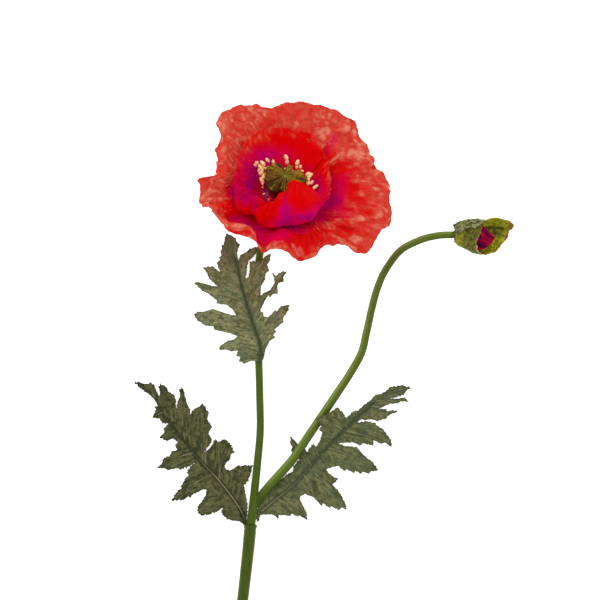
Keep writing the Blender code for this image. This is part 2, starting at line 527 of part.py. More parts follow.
# ------------------------------------------------------------------ the stamens
# Anthers at grid x, grid y and a height along the flower's axis, in order round the
# flower from its right side.  The filaments spread to them from an even ring.
ANTHERS = [
    (311.8, 180.6, 17.5), (307.6, 175.2, 19.0), (300.6, 167.6, 16.6), (297.6, 161.4, 18.0), (286.8, 163.2, 16.2),
    (286.2, 156.8, 18.0), (273.8, 161.2, 18.5), (267.4, 158.6, 18.4), (262.4, 163.0, 19.0), (256.4, 163.6, 18.0),
    (265.0, 169.8, 17.4), (259.4, 169.0, 18.2), (261.6, 174.6, 19.0), (256.6, 178.0, 17.6), (263.0, 180.6, 18.4),
    (259.8, 187.0, 17.6), (264.0, 194.0, 18.2), (268.6, 199.8, 17.4), (276.0, 203.5, 17.8), (286.0, 205.0, 17.2),
    (296.0, 203.0, 17.8), (305.0, 198.5, 17.2), (310.5, 191.5, 18.2), (316.2, 186.6, 17.2),
]
spots = [(float(t), float(r), h) for x, y, h in ANTHERS for t, r, _ in rim_of([(x, y, h)])]
first = min(range(len(spots)), key=lambda i: abs((spots[i][0] + math.pi) % (2 * math.pi) - math.pi))
for i, (turn, reach, h) in enumerate(spots):
    even = spots[first][0] + 2 * math.pi * (i - first) / len(spots)
    twist = (turn - even + math.pi) % (2 * math.pi) - math.pi
    tip = Vector(in_flower(turn, reach, h))
    knee = Vector(in_flower(even + 0.8 * twist, reach - 3.2, h - 4.4))
    lean = (tip - knee).normalized()
    rows = [(Vector(in_flower(even, 4.1, 5.3)), 0.36), (Vector(in_flower(even + 0.3 * twist, 7.9, 8.6)), 0.34),
            (knee, 0.3), (tip - lean * (1.7 * MM), 0.34), (tip - lean * (1.1 * MM), 0.95), (tip, 1.2),
            (tip + lean * (1.1 * MM), 0.95), (tip + lean * (1.6 * MM), 0.4)]
    name = f"stamen_{i + 1:02d}"
    data = bpy.data.curves.new(name, "CURVE")
    data.dimensions = "3D"
    data.fill_mode = "FULL"
    data.use_fill_caps = True
    data.bevel_depth = 0.001
    data.bevel_resolution = 1
    s = data.splines.new("POLY")
    s.points.add(len(rows) - 1)
    for point, (at, thick) in zip(s.points, rows):
        point.co = (*at, 1.0)
        point.radius = thick
    obj = bpy.data.objects.new(name, data)
    bpy.context.scene.collection.objects.link(obj)
    adopt(obj, ANTHER)

# ---------------------------------------------------------------------- the bud
B_OUT = BUD_AXIS
B_UP = Vector((0, 0, 1))
B_SIDE = B_UP.cross(B_OUT).normalized()
B_ORG = plan(*BUD_AT)
BUD_SHAPE = [(0.0, 3.2), (1.2, 5.4), (4.0, 7.2), (8.0, 8.9), (13.0, 10.3), (18.0, 10.9), (22.0, 10.8), (27.0, 10.2),
             (31.0, 8.6), (34.5, 6.2), (37.0, 3.2)]


def bud_radius(x):
    return np.interp(x, [p[0] for p in BUD_SHAPE], [p[1] for p in BUD_SHAPE])


def in_bud(x, r, turn):
    """World points from distance along the bud and radius in mm, and angle from the top towards the far side."""
    x, r, turn = (np.asarray(v, float) for v in (x, r, turn))
    return (np.array(B_ORG) + (x * MM)[..., None] * np.array(B_OUT)
            + (r * np.cos(turn) * MM)[..., None] * np.array(B_UP)
            + (r * np.sin(turn) * MM)[..., None] * np.array(B_SIDE))


def sepal(name, start, end, first, last, grow, edge, across=10, along=8):
    """A sepal: part of the bud's skin between two angles, grown outwards by grow mm, its end shaped by edge(s)."""
    bpy.ops.mesh.primitive_grid_add(x_subdivisions=along, y_subdivisions=across, size=2)
    obj = bpy.context.object
    obj.name = name
    t, s = (np.array([p.co[k] for p in obj.data.vertices]) for k in (0, 1))
    t = (t + 1) / 2
    x = start + (end + edge(s) - start) * t
    narrow = 1.0 - 0.25 * np.clip(t - 0.75, 0, 1) / 0.25 * (end > 30)
    turn = np.radians((first + last) / 2 + s * (last - first) / 2 * narrow)
    flare = 1.0 + 0.0 * t
    points = in_bud(x, (bud_radius(x) + grow) * flare, turn)
    for point, co in zip(obj.data.vertices, points):
        point.co = co
    thick = obj.modifiers.new("thickness", "SOLIDIFY")
    thick.thickness = SEPAL_T * MM
    thick.offset = 0.0
    return adopt(obj, SEPAL)


sepal("bud_sepal_front", 1.4, 19.6, -128, 48, -0.55, lambda s: 1.2 * np.cos(3 * s))
sepal("bud_sepal_top", 1.4, 22.5, 6, 118, 0.75, lambda s: -5.0 * np.clip(-s, 0, 1) ** 2 - 2.5 * s ** 4)
sepal("bud_sepal_back", 1.4, 36.2, 88, 226, -0.55, lambda s: -9.5 * np.clip(s, 0, 1) ** 1.6 - 5.0 * s ** 6, along=12)


def bud_matrix(x):
    m = Matrix((B_SIDE, B_UP, B_OUT)).transposed().to_4x4()
    m.translation = B_ORG + B_OUT * (x * MM)
    return m


bud_end = turned("bud_receptacle", [(0, 0.9), (2.4, 0.8), (3.4, 0.1), (3.5, -0.6), (2.3, -1.1), (0, -1.2)], 18,
                 bud_matrix(-0.1), SEPAL)
furl = turned("bud_petals", [(0, 28.0), (2.2, 27.0), (4.6, 23.6), (6.6, 19.0), (8.2, 14.5), (8.4, 10.5), (7.0, 6.5), (4.6, 3.4),
                             (2.6, 1.6), (0, 1.4)], 24, bud_matrix(0), PETAL_IN)
furl = adopt(as_mesh(furl), PETAL_IN)
for p in furl.data.vertices:
    # Folded petals packed round each other.
    turn = math.atan2(p.co.y, p.co.x)
    k = 1 - 0.07 * (1 + math.cos(5 * turn + p.co.z * 160)) * min(1.0, math.hypot(p.co.x, p.co.y) / (6 * MM))
    p.co.x, p.co.y = p.co.x * k, p.co.y * k
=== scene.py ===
"""A cut poppy with crumpled petals, a side bud and three lobed leaves, lying on a pale table and seen from above."""
import math

import bpy
import numpy as np
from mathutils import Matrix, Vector
from mathutils.geometry import delaunay_2d_cdt


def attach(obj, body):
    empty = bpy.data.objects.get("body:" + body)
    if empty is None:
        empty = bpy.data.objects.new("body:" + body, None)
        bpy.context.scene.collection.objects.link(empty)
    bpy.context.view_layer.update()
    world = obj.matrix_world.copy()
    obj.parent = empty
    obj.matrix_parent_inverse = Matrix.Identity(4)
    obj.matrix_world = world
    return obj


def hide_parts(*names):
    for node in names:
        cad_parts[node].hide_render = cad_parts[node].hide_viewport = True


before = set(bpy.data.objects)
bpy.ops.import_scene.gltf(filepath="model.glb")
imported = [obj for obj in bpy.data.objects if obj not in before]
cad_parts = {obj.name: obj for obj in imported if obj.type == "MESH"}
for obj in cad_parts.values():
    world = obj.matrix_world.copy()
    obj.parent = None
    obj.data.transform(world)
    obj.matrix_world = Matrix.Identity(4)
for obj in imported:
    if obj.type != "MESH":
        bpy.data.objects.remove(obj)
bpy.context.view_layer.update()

scene = bpy.context.scene

# =============================================================== the plan's grid
# The same layout as the CAD: 0.625 mm squares, heights in mm.
GRID, MM = 0.000625, 0.001
PLAN_X0, PLAN_Y0, MID, SIGHT = 323.7, 420.4, 300.0, 2.0
REST_FROM, REST_AT = 3.5, 0.45
LEAF_T = 0.8

FLOWER_AT = (283.0, 198.0, 31.5)
FLOWER_AXIS = Vector((0.17, 0.62, 0.766)).normalized()
DISC_SHIFT = -1.4
BUD_AT = (453.5, 234.6, 11.9)
BUD_AXIS = Vector((1.0, -0.05, 0.0)).normalized()


def plan(x, y, z=0.0):
    """World point of a grid square at a height in mm; takes arrays too."""
    x, y, z = np.broadcast_arrays(np.asarray(x, float), np.asarray(y, float), np.asarray(z, float))
    k = 1.0 - z * MM / SIGHT
    return np.stack([((x - MID) * k + MID - PLAN_X0) * GRID, ((MID - y) * k + PLAN_Y0 - MID) * GRID, z * MM], -1)


def squares(points):
    """Grid squares that world points are seen over."""
    k = 1.0 - points[..., 2] / SIGHT
    x = (points[..., 0] / GRID + PLAN_X0 - MID) / k + MID
    y = MID - (points[..., 1] / GRID - PLAN_Y0 + MID) / k
    return x, y


def through(points, count):
    """count points at even steps on a smooth line through points (rows of numbers)."""
    p = np.array(points, float)
    p = np.vstack([2 * p[0] - p[1], p, 2 * p[-1] - p[-2]])
    t = np.linspace(0, 1, 24, endpoint=False)[:, None]
    fine = [0.5 * (2 * b + (c - a) * t + (2 * a - 5 * b + 4 * c - d) * t * t + (3 * b - a - 3 * c + d) * t ** 3)
            for a, b, c, d in zip(p, p[1:], p[2:], p[3:])]
    fine = np.vstack(fine + [p[-2:-1]])
    step = np.linalg.norm(np.diff(fine[:, :3], axis=0), axis=1)
    along = np.concatenate([[0], np.cumsum(step)])
    at = np.linspace(0, along[-1], count)
    return np.stack([np.interp(at, along, fine[:, k]) for k in range(p.shape[1])], axis=1)


# ============================================================ repeatable noise
def lattice(ix, iy, iz):
    n = (ix.astype(np.int64) * 73856093) ^ (iy.astype(np.int64) * 19349663) ^ (iz.astype(np.int64) * 83492791)
    n = ((n ^ (n >> 13)) * 1274126177) & 0x7FFFFFFF
    n = ((n ^ (n >> 15)) * 668265263) & 0x7FFFFFFF
    return ((n >> 7) & 0xFFFF) / 32767.5 - 1.0


def noise(x, y=0.0, z=0.0):
    """Smooth noise from -1 to 1."""
    x, y, z = np.broadcast_arrays(np.asarray(x, float), np.asarray(y, float), np.asarray(z, float))
    ix, iy, iz = np.floor(x), np.floor(y), np.floor(z)
    fx, fy, fz = x - ix, y - iy, z - iz
    fx, fy, fz = (f * f * f * (f * (f * 6 - 15) + 10) for f in (fx, fy, fz))
    total = np.zeros(x.shape)
    for dx in (0, 1):
        for dy in (0, 1):
            for dz in (0, 1):
                w = (fx if dx else 1 - fx) * (fy if dy else 1 - fy) * (fz if dz else 1 - fz)
                total = total + w * lattice(ix + dx, iy + dy, iz + dz)
    return total


def layered(x, y=0.0, z=0.0, octaves=3):
    return sum(noise(x * 2.03 ** k, y * 2.03 ** k, z + 7.3 * k) / 1.9 ** k for k in range(octaves)) / 1.7


def folds(x, y, z=0.0):
    """Sharp-topped creases, from about -1 in the hollows to 1 on the crests."""
    return 1.0 - 2.6 * np.abs(noise(x, y, z))


def smooth(value, low, high):
    t = np.clip((np.asarray(value, float) - low) / (high - low), 0, 1)
    return t * t * (3 - 2 * t)


def off_segment(x, y, x0, y0, x1, y1):
    """Distance from points to a straight piece of line, and how far along it."""
    dx, dy = x1 - x0, y1 - y0
    t = np.clip(((x - x0) * dx + (y - y0) * dy) / (dx * dx + dy * dy + 1e-9), 0, 1)
    return np.hypot(x - x0 - t * dx, y - y0 - t * dy), t


# ================================================================ node materials
def material(name):
    m = bpy.data.materials.new(name)
    m.use_nodes = True
    b = m.node_tree.nodes["Principled BSDF"]
    b.inputs["Metallic"].default_value = 0.0
    return m, m.node_tree, b


def mask(tree, name):
    n = tree.nodes.new("ShaderNodeAttribute")
    n.attribute_name = name
    return n.outputs["Fac"]


def noise_of(tree, vector, scale, detail=3.0, rough=0.55):
    n = tree.nodes.new("ShaderNodeTexNoise")
    n.inputs["Scale"].default_value = scale
    n.inputs["Detail"].default_value = detail
    n.inputs["Roughness"].default_value = rough
    tree.links.new(vector, n.inputs["Vector"])
    return n.outputs["Fac"]


def spread(tree, value, low, high, to_low=0.0, to_high=1.0):
    n = tree.nodes.new("ShaderNodeMapRange")
    n.inputs["From Min"].default_value = low
    n.inputs["From Max"].default_value = high
    n.inputs["To Min"].default_value = to_low
    n.inputs["To Max"].default_value = to_high
    tree.links.new(value, n.inputs["Value"])
    return n.outputs["Result"]


def sums(tree, a, b, how="MULTIPLY"):
    n = tree.nodes.new("ShaderNodeMath")
    n.operation = how
    n.use_clamp = True
    for i, v in enumerate((a, b)):
        if isinstance(v, (int, float)):
            n.inputs[i].default_value = v
        else:
            tree.links.new(v, n.inputs[i])
    return n.outputs[0]


def blend(tree, factor, a, b, how="MIX"):
    """Colour a going to colour b; each is a triple or an output."""
    n = tree.nodes.new("ShaderNodeMix")
    n.data_type = "RGBA"
    n.blend_type = how
    n.clamp_factor = True
    factor_in = n.inputs[0]
    a_in, b_in = [s for s in n.inputs if s.type == "RGBA"]
    for socket, v in ((factor_in, factor), (a_in, a), (b_in, b)):
        if isinstance(v, tuple):
            socket.default_value = (*v, 1.0)
        elif isinstance(v, (int, float)):
            socket.default_value = v
        else:
            tree.links.new(v, socket)
    return [s for s in n.outputs if s.type == "RGBA"][0]


def place(tree):
    return tree.nodes.new("ShaderNodeTexCoord").outputs["Object"]


def raise_by(tree, shader, height, distance, strength=1.0):
    n = tree.nodes.new("ShaderNodeBump")
    n.inputs["Strength"].default_value = strength
    n.inputs["Distance"].default_value = distance
    tree.links.new(height, n.inputs["Height"])
    tree.links.new(n.outputs["Normal"], shader.inputs["Normal"])


def petal_material(name, red, salmon, light, magenta, purple, deep):
    """Crepe petal: red, paler and blotched where "rim" is high, magenta to purple where "foot" is, with painted
    highlights on the crumple crests, painted shade along the edges and crease valleys, and colour painted lighter to
    cancel the shade in crevices.
    """
    m, t, b = material(name)
    at = place(t)
    rim, foot, crest, edge = (mask(t, k) for k in ("rim", "foot", "crest", "edge"))
    blotch = noise_of(t, at, 310.0, 3.0, 0.5)
    fine = noise_of(t, at, 1700.0, 3.0, 0.6)
    pale = sums(t, rim, spread(t, blotch, 0.34, 0.60, 0.62, 1.1))
    colour = blend(t, pale, red, salmon)
    # Painted highlight: the highlight colour goes on the crumple crests of the paler rim.
    lit = sums(t, sums(t, crest, rim), spread(t, blotch, 0.34, 0.62, 0.18, 1.12))
    colour = blend(t, lit, colour, light)
    stained = sums(t, foot, spread(t, blotch, 0.3, 0.7, 0.9, 1.1))
    colour = blend(t, spread(t, stained, 0.03, 0.50), colour, magenta)
    colour = blend(t, spread(t, stained, 0.48, 0.80), colour, purple)
    colour = blend(t, spread(t, stained, 0.80, 1.0), colour, deep)
    # Darker red along the rims and side edges, with painted shade in the crease valleys, the fan's grooves and the
    # rim's wrinkles.
    colour = blend(t, sums(t, edge, 0.6), colour, (red[0] * 0.55, red[1], red[2]))
    colour = blend(t, spread(t, fine, 0.40, 0.64, 0.0, 0.22), colour, (red[0] * 0.5, 0.0, 0.002))
    # Painted light: the colour is lifted where shade falls in the crevices round the front fold.
    colour = blend(t, mask(t, "bright"), colour, (0.34, 0.34, 0.34), "DODGE")
    t.links.new(colour, b.inputs["Base Color"])
    t.links.new(spread(t, blotch, 0.3, 0.7, 0.7, 0.86), b.inputs["Roughness"])
    b.inputs["Specular IOR Level"].default_value = 0.015
    raise_by(t, b, sums(t, fine, sums(t, blotch, 0.6), "ADD"), 0.00022, 0.5)
    return m


def put(obj, replaced, look):
    obj.data.materials.clear()
    obj.data.materials.append(look)
    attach(obj, "root")
    if replaced:
        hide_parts(*replaced)
    return obj


def new_object(name, mesh):
    obj = bpy.data.objects.new(name, mesh)
    scene.collection.objects.link(obj)
    return obj


def sheet_quads(rows, cols, wrap, first=0):
    index = np.arange(rows * cols).reshape(rows, cols) + first
    right = np.roll(index, -1, axis=1) if wrap else index[:, 1:]
    left = index if wrap else index[:, :-1]
    return np.stack([left[:-1], right[:-1], right[1:], left[1:]], -1).reshape(-1, 4)


class Mesh:
    """Grids of points joined into one mesh, each with the same named masks on its points."""

    def __init__(self, name):
        self.name, self.points, self.quads, self.masks, self.count = name, [], [], {}, 0

    def add(self, points, wrap=False, flip=False, caps=False, **masks):
        rows, cols = points.shape[:2]
        quads = sheet_quads(rows, cols, wrap, self.count)
        if caps:
            # A tiny ring closed by a fan of quads of no size would be untidy: the end rings run to a point instead.
            points = np.concatenate([np.broadcast_to(points[:1].mean(1, keepdims=True), (1, cols, 3)), points,
                                     np.broadcast_to(points[-1:].mean(1, keepdims=True), (1, cols, 3))])
            rows += 2
            quads = sheet_quads(rows, cols, wrap, self.count)
            masks = {k: (np.concatenate([np.asarray(v)[:1], v, np.asarray(v)[-1:]]) if np.ndim(v) == 2 else v)
                     for k, v in masks.items()}
        self.points.append(points.reshape(-1, 3))
        self.quads.append(quads[:, ::-1] if flip else quads)
        for k, v in masks.items():
            self.masks.setdefault(k, []).append(np.broadcast_to(v, (rows, cols)).reshape(-1))
        self.count += rows * cols
        return self

    def object(self):
        mesh = bpy.data.meshes.new(self.name)
        mesh.from_pydata(np.concatenate(self.points).tolist(), [], np.concatenate(self.quads).tolist())
        for k, v in self.masks.items():
            mesh.attributes.new(k, "FLOAT", "POINT").data.foreach_set("value", np.concatenate(v).astype(np.float32))
        mesh.shade_smooth()
        return new_object(self.name, mesh)


def thicken(obj, mm):
    s = obj.modifiers.new("thickness", "SOLIDIFY")
    s.thickness = mm * MM
    s.offset = 0.0
    return obj


def tube_points(centres, radii, sides, squash=None):
    """Rings of points round a line of world points, radii in mm; also the angle round the line, 0 on top."""
    centres = np.asarray(centres, float)
    ahead = np.gradient(centres, axis=0)
    ahead /= np.linalg.norm(ahead, axis=1, keepdims=True)
    up = np.zeros_like(ahead)
    hint = np.array([0.0, 0.0, 1.0]) if abs(ahead[:, 2]).max() < 0.93 else np.array([0.31, 0.9, 0.2])
    up = hint - ahead * (ahead @ hint)[:, None]
    up /= np.linalg.norm(up, axis=1, keepdims=True)
    side = np.cross(ahead, up)
    a = np.linspace(0, 2 * math.pi, sides, endpoint=False)[None, :]
    r = np.broadcast_to(np.asarray(radii, float).reshape(len(centres), -1), (len(centres), sides))
    wide = 1.0 if squash is None else squash
    points = (centres[:, None, :] + (r * np.cos(a) * MM)[..., None] * up[:, None, :]
              + (r * wide * np.sin(a) * MM)[..., None] * side[:, None, :])
    return points, np.broadcast_to(a, r.shape)


FINE = 1.0
FINER = 1.0

# ============================================================ the flower's frame
F_UP = FLOWER_AXIS
F_E1 = (Vector((1, 0, 0)) - F_UP * F_UP.x).normalized()
F_E2 = F_UP.cross(F_E1)
F_ORG = Vector(plan(*FLOWER_AT))


def in_flower(turn, rho, h):
    turn, rho, h = np.broadcast_arrays(*(np.asarray(v, float) for v in (turn, rho, h)))
    return (np.array(F_ORG) + (rho * np.cos(turn) * MM)[..., None] * np.array(F_E1)
            + (rho * np.sin(turn) * MM)[..., None] * np.array(F_E2) + (h * MM)[..., None] * np.array(F_UP))


def rim_of(rows):
    """Rows of (grid x, grid y, height along the axis, ...) as (angle, radius, height, ...), in order of angle."""
    out = []
    for x, y, h, *more in rows:
        z = FLOWER_AT[2]
        for _ in range(6):
            d = (Vector(plan(x, y, z)) - F_ORG) / MM - F_UP * h
            a = d.x / F_E1.x
            b = (d.y - a * F_E1.y) / F_E2.y
            z = FLOWER_AT[2] + a * F_E1.z + b * F_E2.z + h * F_UP.z
        out.append((math.atan2(b, a) % (2 * math.pi), math.hypot(a, b), h, *more))
    return np.array(sorted(out))


def round_the_rim(rows, turn, spread_by=0.0):
    turn = np.asarray(turn, float)
    total = 0.0
    shifts = np.linspace(-spread_by, spread_by, 9) if spread_by else [0.0]
    t = np.concatenate([rows[:, 0] - 2 * math.pi, rows[:, 0], rows[:, 0] + 2 * math.pi])
    for shift in shifts:
        at = (turn + shift) % (2 * math.pi)
        total = total + np.stack([np.interp(at, t, np.tile(rows[:, k], 3)) for k in range(1, rows.shape[1])], -1)
    return total / len(shifts)


OUTER_RIM = rim_of([
    (386, 174.5, 17, -4, 20), (379, 168, 18, -4, 20), (378.8, 160.8, 17, -4, 20), (370.6, 153.5, 16, -4, 20), (368, 146, 18, -4, 20), (360, 135, 17, -8, 20),
    (355.5, 121, 13, -15, 18), (342, 113.5, 16, -10, 18), (334, 108.6, 18, -10, 18), (320, 105, 15, -10, 18),
    (297, 101.3, 13, -15, 18), (284, 103.4, 16, -10, 18), (277, 105.8, 17, -8, 18), (271.5, 104.7, 17, -5, 18), (266, 104.5, 14, -10, 18),
    (259, 105, 13, -15, 18), (248, 104.9, 16, -10, 18), (238, 105.6, 17, -10, 18), (227.2, 108.6, 15, -15, 18),
    (221, 114.5, 16, -10, 18), (215.4, 124, 14, -10, 18), (219.8, 131.5, 19, 2, 16), (219.8, 139, 20, 2, 16),
    (214.4, 152, 17, -5, 16), (217.8, 159.2, 18, 0, 16), (215.2, 168, 18, -4, 16), (214.8, 177.5, 21, 0, 16), (205.5, 177.2, 22, -12, 16),
    (194.6, 179.6, 22, -20, 16), (200.4, 184, 20, -20, 16), (200, 195, 18, -20, 16), (199.4, 202.6, 18, -14, 16), (202.0, 207, 20, 0, 16),
    (208.5, 207, 26, 30, 16), (216, 212.5, 32, 76, 21), (226, 217.6, 36, 104, 24), (240, 223, 38, 110, 22),
    (250, 226, 38, 108, 21), (256, 234.6, 34, 98, 20), (264, 251.6, 25, 50, 18), (270, 250.4, 21, 20, 20), (276, 251.2, 19, 0, 20),
    (281, 250.6, 18, -10, 20), (287, 252.4, 18, -15, 20), (293, 257.4, 16, -20, 20), (297, 261, 15, -25, 20), (303, 260.8, 15, -25, 20),
    (311, 258.6, 15, -25, 20), (316.6, 255, 17, -18, 20), (318.4, 249.6, 19, -12, 20), (325, 245.8, 20, -5, 20), (338, 244.4, 19, 0, 20),
    (346, 245.6, 17, 0, 20), (355.4, 254.6, 13, -15, 20), (365.4, 255.2, 12, -20, 20), (372.0, 245.3, 15, -15, 20), (381.0, 230, 17, -10, 20),
    (389.8, 223.6, 14, -15, 20), (391.4, 211, 16, -10, 20), (389.4, 199.5, 18, -5, 20), (391.0, 191, 17, -8, 20), (390.4, 183, 16, -10, 20),
])
INNER_RIM = rim_of([
    (329, 200, 25, 56, 15), (330, 186, 24, 52, 15), (329, 170, 23, 50, 15), (325, 152, 23, 46, 14),
    (315, 135, 23, 42, 14), (292, 129, 23, 42, 14), (268, 128, 23, 42, 14), (250, 133, 23, 42, 14),
    (242, 148, 24, 44, 15), (236, 168, 25.5, 53, 16), (234, 186, 27, 61, 18), (236, 202, 29.5, 75, 20),
    (246, 204, 33, 92, 22), (255, 202, 36, 105, 23), (266, 197, 38, 118, 25), (278, 192, 41, 135, 27),
    (285, 187, 43, 146, 28), (293, 180.5, 45, 152, 28), (302, 182, 44, 148, 28), (313, 189, 40, 126, 24),
    (323, 195, 32, 90, 19),
])
# The two front petals of the inner ring, folded in over the centre.
FRONT_LEFT_RIM = rim_of([
    (329, 190, 24, 52, 15), (300, 131, 23, 42, 14), (268, 128, 23, 42, 14), (242, 148, 24, 44, 15), (235, 170, 25, 52, 16),
    (232.8, 189, 27.5, 64, 18), (236, 203.8, 31, 92, 22), (241, 202.8, 33, 103, 24), (246, 200, 34.5, 110, 25), (252, 197.3, 36.5, 116, 25.5),
    (257, 195.5, 37.5, 119, 26), (262, 198, 36.5, 116, 25.5), (270, 206, 35.5, 110, 25), (300, 206, 36, 110, 22), (318, 204, 34, 100, 22),
])
FRONT_RIM = rim_of([
    (330, 186, 24, 52, 15), (325, 152, 23, 46, 14), (292, 129, 23, 42, 14), (250, 133, 23, 42, 14), (236, 168, 25, 52, 16),
    (238, 208, 31, 80, 20), (247, 208.5, 33, 92, 21), (256, 206.0, 35, 102, 23), (263.6, 203.4, 37, 110, 25),
    (270.4, 203, 38, 117, 27), (271.4, 198, 39, 121, 28), (272.4, 194.3, 40, 124, 29), (278, 192.6, 41, 132, 30), (284.4, 191.2, 42, 140, 31),
    (286.6, 184.5, 44, 148, 32), (289.5, 181, 45, 151, 32), (293.5, 179.7, 45, 152, 32), (298.7, 181.4, 44.5, 150, 32),
    (307, 185.2, 43, 142, 31), (314.8, 190.2, 40, 126, 28), (323.2, 193.6, 35, 98, 20), (327, 196.5, 33, 86, 18),
])


def corolla(rows, turn, v, foot, rise, run, jag=0.0):
    """Points of a ring of petals; jag in mm roughens the rim."""
    turn, v = np.broadcast_arrays(np.asarray(turn, float), np.asarray(v, float))
    rho, h, slope, keep = np.moveaxis(round_the_rim(rows, turn, 0.11), -1, 0)
    edge = round_the_rim(rows, turn, 0.012)
    slope = np.radians(slope)
    up = np.radians(rise)
    r0, h0 = foot
    r1, h1 = r0 + run * np.cos(up), h0 + run * np.sin(up)
    r2, h2 = rho - keep * np.cos(slope), h - keep * np.sin(slope)
    w = 1.0 - v
    if rows is OUTER_RIM:
        # The front petals make room for the folded inner ones.
        away = np.abs((turn - math.radians(272) + math.pi) % (2 * math.pi) - math.pi)
        h1 = h1 - 0.5 * np.exp(-(away / 0.7) ** 2)
    r = w ** 3 * r0 + 3 * w * w * v * r1 + 3 * w * v * v * r2 + v ** 3 * rho
    z = w ** 3 * h0 + 3 * w * w * v * h1 + 3 * w * v * v * h2 + v ** 3 * h
    pull = np.clip(v, 0, 1.2) ** 5
    if jag:
        along = turn * 58.0
        ragged = jag * (0.9 * noise(along / 5.2, 3.1) + 0.6 * noise(along / 2.4, 9.7) + 0.35 * noise(along / 1.1, 5.2))
        r = r + ragged * np.clip(v, 0, 1.2) ** 9
    at = in_flower(turn, r + (edge[..., 0] - rho) * pull, z + (edge[..., 1] - h) * pull)
    low = np.minimum(at[..., 2] / MM, REST_FROM)
    pressed = REST_AT + (REST_FROM - REST_AT) * np.exp((low - REST_FROM) / (REST_FROM - REST_AT))
    at[..., 2] = np.where(at[..., 2] / MM < REST_FROM, pressed * MM, at[..., 2])
    return at


def outer_skin(turn, v):
    away = np.abs((np.asarray(turn, float) - math.radians(236) + math.pi) % (2 * math.pi) - math.pi)
    return corolla(OUTER_RIM, turn, v, (5.5, 0.0), 27.0 - 9.0 * np.exp(-(away / 0.6) ** 2), 20.0, 0.7)


def inner_skin_of(rows, swell=0.0, less=10.0, wide=0.75):
    def skin(turn, v):
        away = np.abs((np.asarray(turn, float) - math.radians(266) + math.pi) % (2 * math.pi) - math.pi)
        front = np.exp(-(away / wide) ** 2)
        return corolla(rows, turn, v, (3.6, 2.6), 26.0 - less * front, 17.0 + (10.0 + swell) * front, 0.35)
    return skin


# Where the magenta and purple of the petals' feet spread: grid x, grid y, reach
# across, reach up and down, and how deep the stain is.
STAINS = [
    (250, 186, 8, 13, 0.80), (243, 199, 7, 6, 0.72), (246, 168, 8, 12, 0.50), (233, 193, 6, 9, 0.66), (238, 182, 5, 9, 0.40), (256, 172, 6, 10, 0.62),
    (261, 154, 10, 8, 0.60), (274, 151.5, 12, 5.4, 0.50), (288, 156, 9, 6, 0.34), (300, 164, 4, 5, 0.16), (268, 161, 12, 8, 0.44),
    (264, 168, 10, 10, 0.60), (316, 183, 6, 7, 0.66), (321, 190, 6, 5, 0.52), (309, 172, 5, 6, 0.40),
    (286.0, 199, 2.6, 5.5, 0.66), (286.5, 208, 5.0, 6.0, 0.72), (288, 218, 10, 6, 0.76), (301, 217, 8, 5.0, 0.66), (292, 226, 16, 4, 0.66),
    (310, 215, 9, 6.5, 0.66), (320, 208, 9, 7, 0.62), (329, 201, 8, 8, 0.60), (309, 219.5, 6, 4, 0.50),
    (337, 196, 8, 9, 0.50), (341, 185, 8, 9, 0.40), (334, 180, 5, 7, 0.26), (336, 205, 8, 6, 0.46), (348, 176, 5, 5, 0.16),
    (272, 236, 12, 6, 0.56), (261, 240, 6, 6, 0.46), (257, 231, 7, 5, 0.56), (284, 233, 7, 5, 0.42), (236, 219, 9, 3.4, 0.78),
    (247, 224, 9, 4.2, 0.68), (253.5, 205, 3.2, 8, 0.66), (257.5, 198, 3.4, 5, 0.56), (262, 229, 8, 4.5, 0.56),
    (333, 141, 5, 8, 0.40), (328, 148, 4, 6, 0.28), (322, 218, 9, 4, 0.46), (345, 214, 12, 5, 0.22), (300, 229.6, 10, 2.6, 0.40), (280, 222.5, 8, 4, 0.62), (283.5, 212, 4.6, 6, 0.55),
]


def stain(points):
    x, y = squares(points)
    wx = x + 2.2 * noise(x / 8, y / 8, 1.0) + 1.0 * noise(x / 2.6, y / 2.6, 3.0)
    wy = y + 2.2 * noise(x / 8, y / 8, 5.0) + 1.0 * noise(x / 2.6, y / 2.6, 7.0)
    clear = np.ones(x.shape)
    for sx, sy, rx, ry, deep in STAINS:
        clear = clear * (1 - deep * np.exp(-((wx - sx) / rx) ** 2 - ((wy - sy) / ry) ** 2))
    return 1 - clear


# How far out the paler, blotched rim begins and is full, by angle round the flower.
PALE = np.array([(0, .58, .86), (25, .54, .80), (50, .46, .66), (80, .40, .56), (120, .40, .58), (140, .50, .72), (165, .44, .68),
                 (185, .40, .72), (200, .42, .74), (212, .66, .88), (232, .84, .93), (262, .86, .93), (276, .895, .955), (286, .905, .975),
                 (300, .88, .99), (312, .66, .98), (330, .56, .94), (345, .56, .86), (360, .58, .86)])
